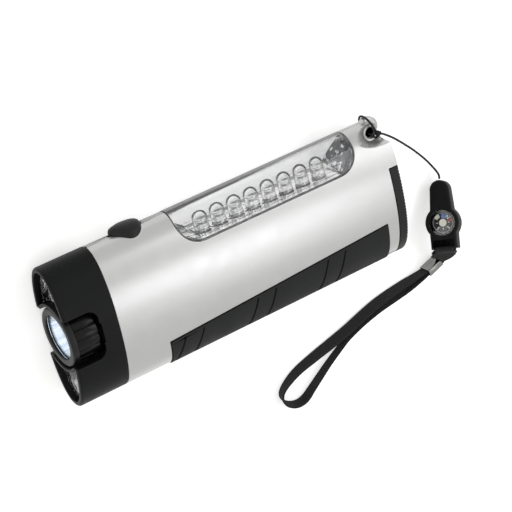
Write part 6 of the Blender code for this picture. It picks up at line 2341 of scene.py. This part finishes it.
@dataclass
class SideLight(Assembly):
    """The clear saddle-shaped cover, the plated tray, the eight diodes and their board."""

    housing: Housing = field(default_factory=Housing)
    thickness: float = 0.0012
    sheet: float = 0.0008
    first: float = 0.0616
    pitch: float = 0.00678
    count: int = 8
    base: float = 0.0119
    diode_height: float = 0.0092
    diode_hole: float = 0.0028
    tray_sink: float = 0.0002
    board_corners: tuple[Place, Place] = ((0.0570, 0.0104, -0.0076), (0.1137, 0.0116, 0.0076))
    end_gap: float = 0.0008
    spine_proud: float = 0.00003
    spine_thickness: float = 0.0005
    spine_near: float = 0.0007
    spine_far: float = 0.0034
    facet_feet: tuple[Flat, ...] = ((0.0575, 0.0150), (0.1147, 0.0152))
    facet_tops: tuple[Flat, ...] = ((0.0520, 0.0205), (0.1208, 0.0230))

    def cover(self) -> None:
        """The clear cover over the narrow edge."""
        front, rear, _, _ = self.housing.window
        cover = self.section.blank("window_saddle", front, rear)
        carve(cover, self.section.blank("hollow", self.head_length, self.length, -self.thickness))
        carve(cover, self.through("outline", self.housing.window_outline(self.gap)), Cut.KEEP)
        soften(cover, 0.00016, 2, 34)
        shade(cover, 40)
        self.section.polish(cover)
        self.fit(cover, WINDOW, "window_clear", "clear_plastic", "window_cover")

    def room(self) -> Piece:
        """The space inside the housing's wall, to which a piece is cut."""
        return self.section.blank("room", self.head_length, self.length, -self.wall - self.gap)

    def tray(self) -> None:
        """The plated tray with a hole for each diode, and the rail and the facets that go with it."""
        front, rear, sill, corner = self.housing.window
        near, far = (front + corner, sill + corner), (rear - corner, sill + corner)
        inside = corner + self.tray_sink
        outline: list[Flat] = []
        for radius, order in ((inside + self.sheet, 1), (inside, -1)):
            path = arc(near, radius, 187, 270, 3) + arc(far, radius, 270, 353, 3)
            outline += path[::order]
        tray = self.through("led_tray_plated", outline)
        carve(tray, self.room(), Cut.KEEP)
        for i in range(self.count):
            place = (0, self.first + self.pitch * i)
            carve(tray, rod("hole", self.diode_hole, 0, self.section.half_height, Axis.Y, place, 32))
        soften(tray, 0.00010, 2, 30)
        shade(tray, 35)
        satin = Plating(colour=(0.90, 0.90, 0.885), roughness=0.20)
        self.fit(tray, satin, "tray_plating", "plated_plastic", "led_tray")
        self.spine(front + self.end_gap, rear - self.end_gap)
        self.facets()

    def spine(self, front: float, rear: float) -> None:
        """A rail along the cover's crown that carries the seam strip's line on, coloured in painted shade.

        Args:
            front: Where it starts along the lamp.
            rear: Where it ends.
        """
        spine = self.section.blank("window_spine", front, rear, self.spine_proud)
        carve(spine, self.section.blank("hollow", 0, self.length, self.spine_proud - self.spine_thickness))
        high = (self.length, 2 * self.section.half_height, self.spine_near)
        carve(spine, block("strip", (0, 0, -self.spine_far), high), Cut.KEEP)
        soften(spine, 0.00008, 1, 50)
        shade(spine)
        # Painted shade: a darkish opaque strip for the dark band that the thick clear crown shows.
        painted_shade_grey = MouldedBlack(colour=(0.27, 0.27, 0.275), worn_and_highlit_colour=(0.4, 0.4, 0.4), roughness=0.3, shine=0.4)
        self.fit(spine, painted_shade_grey, "spine_painted_shade", "plated_plastic")

    def facets(self) -> None:
        """The slanting facets that close the tray's two ends, dark with pale streaks of painted reflection.
        """
        # Painted reflection: the dark colour and pale streaks stand in for surroundings mirrored in plating.
        dark = Plating(colour=(0.05, 0.052, 0.058), roughness=0.06, waves=0.0010, streaks=900.0)
        for word, low, high in zip(("front", "rear"), self.facet_feet, self.facet_tops):
            wall = self.sheet if high[0] > low[0] else -self.sheet
            outline = [low, high, (high[0] + wall, high[1]), (low[0] + wall, low[1])]
            facet = self.through(f"tray_facet_{word}", outline)
            carve(facet, self.room(), Cut.KEEP)
            soften(facet, 0.0001, 1, 50)
            shade(facet, 30)
            self.fit(facet, dark, "facet_painted_reflection", "plated_plastic")

    def diodes(self) -> None:
        """The eight diodes in a row."""
        for i in range(self.count):
            foot = (self.first + self.pitch * i, self.base, 0.0)
            sizes = {"height": self.diode_height, "axis": Axis.Y, "flip": False, "lit": 0.35}
            Diode(name=f"side_{i + 1}", foot=foot, **sizes).build(f"side_led_{i + 1}")

    def board(self) -> None:
        """The diodes' board."""
        board = block("side_board_coated", *self.board_corners)
        soften(board, 0.00012, 1)
        shade(board)
        self.fit(board, BOARD, "board", "board", "side_led_board")


# Button and grip


@dataclass
class PushButton(Assembly):
    """The domed teardrop button on its skirt and post."""

    centre: float = 0.0343
    radius: float = 0.0049
    nose: float = 0.0020
    reach: float = 0.0049
    proud: float = 0.0026
    skirt: float = 0.0042
    post_radius: float = 0.0015
    post_reach: float = 0.0004
    post_sink: float = 0.001
    band: float = 0.00004
    rings: tuple[Flat, ...] = (
        (0.20, 1.0), (0.38, 0.985), (0.54, 0.955), (0.68, 0.90), (0.80, 0.80), (0.89, 0.66), (0.95, 0.48),
        (0.985, 0.28), (1.0, 0.08),
    )

    def pear(self, growth: float) -> list[Flat]:
        """The button's outline as (z, x): a round rear and a narrow nose joined by tangents.

        Args:
            growth: How far it is grown.

        Returns:
            Its points.
        """
        rear, nose = self.radius + growth, self.nose + growth
        lean = math.degrees(math.asin((rear - nose) / self.reach))
        points = arc((self.centre, 0), rear, -90 - lean, 90 + lean, 36)
        points += arc((self.centre - self.reach, 0), nose, 90 + lean, 270 - lean, 16)
        return [(z, x) for x, z in points]

    def build(self) -> None:
        """Extrudes the pear ring by ring into a dome, bends it to the housing's crown and adds the post."""
        high = self.section.half_height
        button = merge_flats(plate("push_button_dome", self.pear(0), high - self.skirt, high, Axis.Y))
        pick(button, Kind.FACE, lambda face: face.normal.y > 0.9)
        lift, size, middle = 0.0, 1.0, self.centre
        for rise, shrink in self.rings:
            step = (0, self.proud * (rise - lift), 0)
            bpy.ops.mesh.extrude_region_move(TRANSFORM_OT_translate={"value": step})
            slide = self.centre - self.reach * (1 - shrink) / 2
            ratio = shrink / size
            bpy.ops.transform.resize(value=(ratio, 1, ratio), center_override=(middle, 0, 0))
            bpy.ops.transform.translate(value=(slide - middle, 0, 0))
            lift, size, middle = rise, shrink, slide
        close_up()
        self.follow_crown(button)
        low, top = high - self.skirt - self.post_reach, high - self.post_sink
        carve(button, rod("post", self.post_radius, low, top, Axis.Y, (0, self.centre), 24), Cut.JOIN)
        shade(button, 50)
        rubber = MouldedBlack(colour=(0.0085, 0.0090, 0.0095), roughness=0.44, shine=0.24, wear_and_highlight=0.2)
        self.fit(button, rubber, "button_black", "black_plastic", "push_button", body="button")

    def follow_crown(self, button: Piece) -> None:
        """Lowers the dome's points, in bands, to follow the housing's rounded edge.

        Args:
            button: The button, still in the lamp's own frame.
        """
        high = self.section.half_height
        bands: dict[int, set[int]] = {}
        for vertex in button.data.vertices:
            if vertex.co.y > high - self.skirt / 2:
                bands.setdefault(round(abs(vertex.co.z) / self.band), set()).add(vertex.index)
        for band, inside in bands.items():
            fall = self.section.crown(band * self.band) - high
            pick(button, Kind.POINT, lambda point: point.index in inside)
            bpy.ops.transform.translate(value=(0, fall, 0))
            close_up()


@dataclass
class RubberGrip(Assembly):
    """The soft sleeve round the narrow edge, with slanting pairs of grooves."""

    proud: float = 0.0004
    thickness: float = 0.0013
    front: float = 0.0354
    rear: float = 0.1273
    top_front: float = 0.0151
    top_rear: float = 0.0101
    slant: float = 0.0010
    groove: float = 0.0008
    groove_depth: float = 0.0006
    groove_first: float = 0.0406
    groove_pitch: float = 0.0075
    groove_lean: float = 0.0050
    groove_pairs: int = 3
    pair_pitch: float = 0.0299

    def outline(self, growth: float) -> list[Flat]:
        """The grip's edge on the wide side, as (x, y).

        Args:
            growth: How far it is grown.

        Returns:
            Its corners.
        """
        low = -self.section.half_height - self.overrun
        return [
            (self.front + self.slant - growth, low), (self.rear + self.slant + growth, low),
            (self.rear + growth, -self.top_rear + growth), (self.front - growth, -self.top_front + growth),
        ]

    def build(self) -> None:
        """The sleeve with its three pairs of grooves."""
        section = self.section
        sleeve = section.blank("grip_sleeve", self.front - self.overrun, self.rear + self.overrun, self.proud)
        carve(sleeve, section.blank("bed", 0, self.length, self.proud - self.thickness))
        carve(sleeve, self.through("edge", self.outline(0)), Cut.KEEP)
        low = -section.half_height - self.overrun
        fall = self.groove_lean * (self.top_front + low) / self.top_front
        floor = section.blank("floor", 0, self.length, self.proud - self.groove_depth)
        for i in range(2 * self.groove_pairs):
            start = self.groove_first + self.pair_pitch * (i // 2) + self.groove_pitch * (i % 2)
            share = (start - self.front) / (self.rear - self.front)
            top = -self.top_front + (self.top_front - self.top_rear) * share - self.groove
            foot = start + fall
            groove = self.through(
                "groove", [(foot, low), (foot + self.groove, low), (start + self.groove, top), (start, top)]
            )
            carve(groove, floor, keep=True)
            carve(sleeve, groove)
        bpy.data.objects.remove(floor, do_unlink=True)
        soften(sleeve, 0.00016, 2, 34)
        shade(sleeve, 40)
        section.polish(sleeve, self.proud)
        self.fit(sleeve, GripRubber(), "grip_rubber", "grip_rubber", "rubber_grip")


# Battery door and power


@dataclass
class BatteryDoor(Assembly):
    """The black end cap with its snap tongues."""

    door_length: float = 0.0041
    top: float = 0.0094
    round_off: float = 0.0014
    corner: float = 0.0036
    hollow: float = 0.0010
    tongue_height: float = -0.0020
    tongue_thickness: float = 0.0012
    tongue_corners: tuple[Flat, Flat] = ((-0.0050, -0.0050), (0.0009, 0.0010))
    notch_count: int = 22
    notch_first: float = -0.0185
    notch_pitch: float = 0.00125
    notch_half: float = 0.00022
    notch_depth: float = 0.0021
    notch_reach: float = 0.00115
    notch_out: float = 0.001

    def build(self) -> None:
        """The cap: the rounded rim first, then its top, corner, hollow, snap tongues and thumb notches."""
        front, rear, high = self.length - self.door_length, self.length, self.section.half_height
        door = merge_flats(self.section.blank("battery_cap_moulding", front, rear))
        round_edges(door, lambda a, b: min(a.x, b.x) > rear - 1e-6, self.round_off, 6)
        above = (front - self.overrun, self.top, -self.deep)
        carve(door, block("above", above, (rear + self.overrun, 2 * high, self.deep)))
        carve(door, Housing().corner_cutter((rear - self.corner, self.corner - high), self.corner, -1))
        room = self.section.blank("room", front - self.overrun, front + self.hollow, -self.wall)
        above = (front - 2 * self.overrun, self.top - self.wall, -self.deep)
        carve(room, block("above", above, (rear, 2 * high, self.deep)))
        carve(door, room)
        for side in (1, -1):
            self.notches(door, side)
            outer = self.section.half_width_at(self.tongue_height, -self.wall - self.gap) - self.gap
            inner, outer = sorted((side * (outer - self.tongue_thickness), side * outer))
            (start, low), (end, top) = self.tongue_corners
            tongue = block("tongue", (front + start, low, inner), (front + self.hollow + end, top, outer))
            carve(door, tongue, Cut.JOIN)
        soften(door, 0.00014, 2, 40)
        weigh_normals(shade(door, 40))
        self.section.polish(door)
        black = MouldedBlack(colour=(0.0070, 0.0076, 0.0080), roughness=0.46, shine=0.24)
        self.fit(door, black, "cap_black", "black_plastic", "battery_door", body="battery_cap")

    def notches(self, door: Piece, side: int) -> None:
        """Cuts the row of fine thumb notches into the rim of one wide side.

        Args:
            door: The cap, still in the lamp's own frame.
            side: Which wide side.
        """
        rear, half = self.length, self.notch_half
        for i in range(self.notch_count):
            y = self.notch_first + self.notch_pitch * i
            wide = self.section.half_width_at(y)
            low, high = sorted((side * (wide - self.notch_depth), side * (wide + self.notch_out)))
            start, end = (rear - self.notch_reach, y - half, low), (rear + self.notch_out, y + half, high)
            carve(door, block("notch", start, end))


@dataclass
class PowerPack(Assembly):
    """The three slim cells, with printed bands but no words, and the pieces kept as they came."""

    radius: float = 0.00525
    cell_length: float = 0.0445
    nub: tuple[Flat, ...] = ((0, 0), (0.0016, 0), (0.0019, 0.0003), (0.0019, 0.0010))
    top_roll: tuple[Flat, ...] = ((0.0010, 0.0011), (0.0003, 0.0010), (0, 0.0014))
    foot_roll: tuple[Flat, ...] = ((0, 0.0003), (0.0003, 0), (0.0009, 0.0002))
    middle: float = -0.0076
    pitch: float = 0.0108

    def cells(self) -> None:
        """The cells: a rolled wrap edge at each end, a nub and a sunken base."""
        r, end = self.radius, self.cell_length
        profile = [(x, end - drop) for x, drop in self.nub]
        profile += [(r - x, end - drop) for x, drop in self.top_roll]
        profile += [(r - x, y) for x, y in self.foot_roll]
        profile.append((0, self.foot_roll[-1][1]))
        for i in range(3):
            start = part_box(f"battery_cell_{i + 1}")[0][0] - self.seat[0]
            height, flip = self.middle + self.pitch * (i - 1), i % 2 == 1
            foot = start + end if flip else start
            cell = turned(f"cell_{i + 1}_wrapped", profile, Axis.X, (height, 0), 48, flip, foot)
            shade(cell)
            wrap = CellWrap(nub_end=start + self.seat[0] + (0 if flip else end))
            self.fit(cell, wrap, f"cell_wrap_{i + 1}", "cell_can", f"battery_cell_{i + 1}")

    def keep(self) -> None:
        """Gives the nodes that are shown as they came their finishes."""
        springs = [f"contact_spring_{i + 1}" for i in range(3)]
        groups: dict[Material, tuple[str, ...]] = {
            BLACK.material("nose_black"): ("bulkhead", "battery_holder", "tact_switch", "switch_plunger"),
            STEEL.material("screw_steel"): ("contact_front", "contact_rear", *springs),
            BOARD.material("board"): ("main_board",),
        }
        for finish, names in groups.items():
            for name in names:
                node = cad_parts[name]
                node.data.materials.clear()
                node.data.materials.append(finish)


# Compass


@dataclass(frozen=True)
class CardMarks:
    """The sizes of the compass card's print and of a painted highlight on it, with heights over its top."""

    lift: float = 0.00001
    ticks: int = 48
    tick_rim: float = 0.00375
    tick_long: float = 0.00046
    tick_short: float = 0.00030
    tick_half: float = 0.00007
    tick_top: float = 0.00004
    point_low: float = 0.0019
    point_high: float = 0.0027
    point_half: float = 0.00022
    letter_size: float = 0.0017
    letter_half: float = 0.00002
    letter_weight: float = 0.00003
    letter_radius: float = 0.0026
    hub_top: float = 0.00036
    hub_edge: float = 0.00034
    hub_flat: float = 0.00135
    hub_radius: float = 0.0014
    # A cream patch by the hub: a painted highlight for the dome's reflection.
    painted_highlight_fan: tuple[float, float, float, float] = (0.0036, 0.0023, 112, 146)
    painted_highlight_top: float = 0.00006
    blue_fan: tuple[float, float, float, float] = (0.0032, 0.0017, 58, 100)
    blue_top: float = 0.00007
    arrow: tuple[Flat, ...] = (
        (0.0016, 0.0002), (0.0026, 0.0002), (0.0026, 0.0007), (0.0037, 0.0001), (0.0026, -0.0006),
        (0.0026, -0.0002), (0.0016, -0.0002),
    )
    arrow_top: float = 0.00008
    arrow_turn: float = 14


@dataclass
class Compass(Assembly):
    """The leaning holder, its capsule and dome, and the floating card with its marks."""

    stand: CompassFrame = field(default_factory=CompassFrame)
    sizes: CompassSizes = field(default_factory=CompassSizes)
    marks: CardMarks = field(default_factory=CardMarks)
    card_top: float = -0.0021

    def seated(self, piece: Piece) -> Piece:
        """Moves a piece from the compass's own frame to the part's."""
        return settle(piece, self.stand.matrix())

    def outline(self) -> list[Flat]:
        """The holder seen on its face: round neck, round body and broad foot.

        Returns:
            Its points.
        """
        s = self.sizes
        shoulder = math.degrees(math.asin(0.62))
        points = arc((0, s.neck_reach - s.neck_radius), s.neck_radius, 0, 180, 32)
        points += arc((0, 0), s.body_radius, 180 - shoulder - 10, 180 + shoulder, 24)
        points += [(-s.foot_half_width, -s.slot_top), (-s.foot_half_width, -s.foot_reach)]
        points += [(s.foot_half_width, -s.foot_reach), (s.foot_half_width, -s.slot_top)]
        return points + arc((0, 0), s.body_radius, -shoulder, shoulder + 10, 24)

    def holder(self) -> None:
        """The moulded holder with its rounded face edge, slot and bar."""
        s = self.sizes
        holder = merge_flats(plate("compass_holder_moulding", self.outline(), -s.thickness, 0, Axis.Z))
        round_edges(holder, lambda a, b: abs(a.z - b.z) < 1e-6, s.edge_round, 4)
        middle, out, wide = -s.thickness / 2, self.overrun, s.slot_half_width
        carve(holder, rod("room", s.capsule_radius + s.gap, -s.capsule_depth - s.gap, out, Axis.Z, sides=64))
        carve(holder, block("slot", (-wide, -s.slot_bottom, -s.thickness - out), (wide, -s.slot_top, out)))
        half, foot, top = s.bar_thickness / 2, -s.foot_reach - out, -s.slot_top - s.gap
        for low, high in ((middle + half, out), (-s.thickness - out, middle - half)):
            carve(holder, block("relief", (-wide, foot, low), (wide, top, high)))
        soften(holder, 0.00014, 2, 34)
        shade(holder, 40)
        satin = MouldedBlack((0.0060, 0.0062, 0.0066), (0.12, 0.12, 0.122), roughness=0.58, wear_and_highlight=0.6)
        self.fit(holder, satin, "holder_satin", "black_plastic", "compass_holder")

    def capsule(self) -> None:
        """The clear cup with its pivot, and the clear dome over it."""
        s = self.sizes
        bottom, floor, rim = -s.capsule_depth, -s.capsule_depth + s.capsule_wall, -s.dome_thickness - s.gap
        inner, pivot = s.capsule_radius - s.capsule_wall, floor + s.pivot_height
        cup = [(0, pivot), (s.pivot_tip, pivot), (s.pivot_foot, floor), (inner, floor), (inner, rim)]
        cup += [(s.capsule_radius, rim), (s.capsule_radius, bottom), (0, bottom)]
        piece = turned("compass_cup", cup, Axis.Z, steps=56)
        shade(piece)
        self.fit(piece, CLEAR, "capsule_clear", "clear_plastic", "compass_capsule")
        top = [(s.capsule_radius * i / 10, s.dome_rise * (1 - (i / 10) ** 2)) for i in range(11)]
        under = [(r, z - s.dome_thickness) for r, z in reversed(top)]
        dome = turned("compass_dome_clear", top + under, Axis.Z, steps=56)
        shade(dome, 50)
        self.fit(dome, CLEAR, "capsule_clear", "clear_plastic", "compass_dome")

    def card(self) -> None:
        """The card with its hub, printed ring of ticks, letters, blue quarter, red arrow and a painted
        highlight.
        """
        s, marks = self.sizes, self.marks
        top, low, under = self.card_top, self.card_top - s.card_thickness, self.card_top - s.card_recess
        boss, wide = top + s.card_boss, s.card_boss_radius
        profile = [(0, boss), (wide, boss), (wide, top), (s.card_radius, top), (s.card_radius, low)]
        profile += [(s.card_recess_radius, low), (s.card_recess_radius, under), (0, under)]
        card = turned("compass_card_disc", profile, Axis.Z, steps=56)
        shade(card)
        ink = CardPrint(colour=(0.010, 0.011, 0.013))
        self.fit(card, ink, "card_black", "card", "compass_card", body="card")
        self.printed("compass_card_marks", self.ring(), (0.95, 0.95, 0.90))
        foot = top + 2 * marks.lift
        hub = [(0, top + marks.hub_top), (marks.hub_flat, top + marks.hub_edge)]
        hub_disc = turned("hub_disc", hub + [(marks.hub_radius, foot), (0, foot)], Axis.Z, steps=40)
        # Painted highlight: a cream patch, joined to the hub, for the dome's reflection on the card.
        pale = self.fan("pale", marks.painted_highlight_fan, marks.painted_highlight_top)
        self.printed("compass_card_hub_and_highlight", [hub_disc, pale], (1.0, 0.97, 0.84))
        patch = self.fan("patch", marks.blue_fan, marks.blue_top)
        self.printed("compass_card_quarter", [patch], (0.04, 0.20, 0.60))
        arrow = plate("arrow", marks.arrow, top + marks.lift, top + marks.arrow_top, Axis.Z)
        settle(arrow, Matrix.Rotation(math.radians(marks.arrow_turn), 4, "Z"))
        self.printed("compass_card_arrow", [arrow], (0.75, 0.03, 0.03))

    def printed(self, name: str, parts: list[Piece], colour: Colour) -> None:
        """One colour of the card's print, joined into a piece."""
        self.fit(joined(parts, name), CardPrint(colour=colour), name, "card", body="card")

    def fan(self, name: str, shape: tuple[float, float, float, float], height: float) -> Piece:
        """A printed patch between two arcs.

        Args:
            name: The piece's name.
            shape: Its outer and inner radius and the angles where it starts and ends.
            height: How high it stands over the card.

        Returns:
            The new piece.
        """
        outer, inner, start, end = shape
        outline = arc((0, 0), outer, start, end, 12) + arc((0, 0), inner, end, start, 12)
        return plate(name, outline, self.card_top + self.marks.lift, self.card_top + height, Axis.Z)

    def ring(self) -> list[Piece]:
        """The pale marks: ticks round the rim, the four letters and the four points between them.

        Returns:
            The pieces.
        """
        marks, top = self.marks, self.card_top
        found = []
        for i in range(marks.ticks):
            angle = 2 * math.pi * i / marks.ticks
            way = Vector((math.cos(angle), math.sin(angle)))
            side = Vector((-way.y, way.x)) * marks.tick_half
            reach = marks.tick_long if i % 4 == 0 else marks.tick_short
            inner, outer = way * (marks.tick_rim - reach), way * marks.tick_rim
            quad = [inner - side, outer - side, outer + side, inner + side]
            found.append(plate("tick", [tuple(p) for p in quad], top, top + marks.tick_top, Axis.Z))
        for letter, turn in (("N", 45), ("E", -45), ("S", -135), ("W", 135)):
            found.append(self.letter(letter, math.radians(turn)))
        for turn in (0, 90, 180, 270):
            angle = math.radians(turn)
            way = Vector((math.cos(angle), math.sin(angle)))
            side = Vector((-way.y, way.x)) * marks.point_half
            tri = [way * marks.point_low - side, way * marks.point_high, way * marks.point_low + side]
            found.append(plate("point", [tuple(p) for p in tri], top, top + marks.tick_top, Axis.Z))
        return found

    def letter(self, text: str, angle: float) -> Piece:
        """One direction letter, facing outwards from the card's middle.

        Args:
            text: The letter.
            angle: Where it stands on the card, in radians.

        Returns:
            The new piece.
        """
        deselect()
        bpy.ops.object.text_add()
        data = bpy.context.object.data
        data.body = text
        data.size = self.marks.letter_size
        data.extrude = self.marks.letter_half
        data.offset = self.marks.letter_weight
        data.resolution_u = 2
        data.align_x, data.align_y = "CENTER", "CENTER"
        bpy.ops.object.convert(target="MESH")
        place = Matrix.Translation((0, self.marks.letter_radius, self.card_top + self.marks.letter_half))
        return settle(named("letter"), Matrix.Rotation(angle - math.pi / 2, 4, "Z") @ place)


def main() -> None:
    """Builds and dresses every sub-assembly in order."""
    logging.basicConfig(level=logging.INFO, format="%(name)s %(message)s")
    studio = Studio()
    studio.place_camera()
    studio.lay_floor()
    studio.light()
    lanyard = Lanyard()
    knot = lanyard.knot()
    lanyard.cord([knot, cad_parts["compass_holder"]])
    crimp, tab = lanyard.crimp(), lanyard.tab()
    lanyard.strap()
    housing, nose, lamp, side_light = Housing(), Nose(), TwistLamp(), SideLight()
    power, compass = PowerPack(), Compass()
    steps: tuple[tuple[str, tuple[Callable[[], None], ...]], ...] = (
        ("housing", (housing.shells, housing.strips, housing.screws)),
        ("nose", (nose.shell, nose.pockets, nose.screws)),
        ("twist lamp", (lamp.barrel, lamp.bezel, lamp.lens, lamp.reflector, lamp.seat_and_diode)),
        ("side light", (side_light.cover, side_light.tray, side_light.diodes, side_light.board)),
        ("button and grip", (PushButton().build, RubberGrip().build)),
        ("power", (BatteryDoor().build, power.cells, power.keep)),
        ("compass", (compass.holder, compass.capsule, compass.card)),
    )
    for name, builders in steps:
        for builder in builders:
            builder()
        LOG.info("%s done", name)


if __name__ == "__main__":
    main()
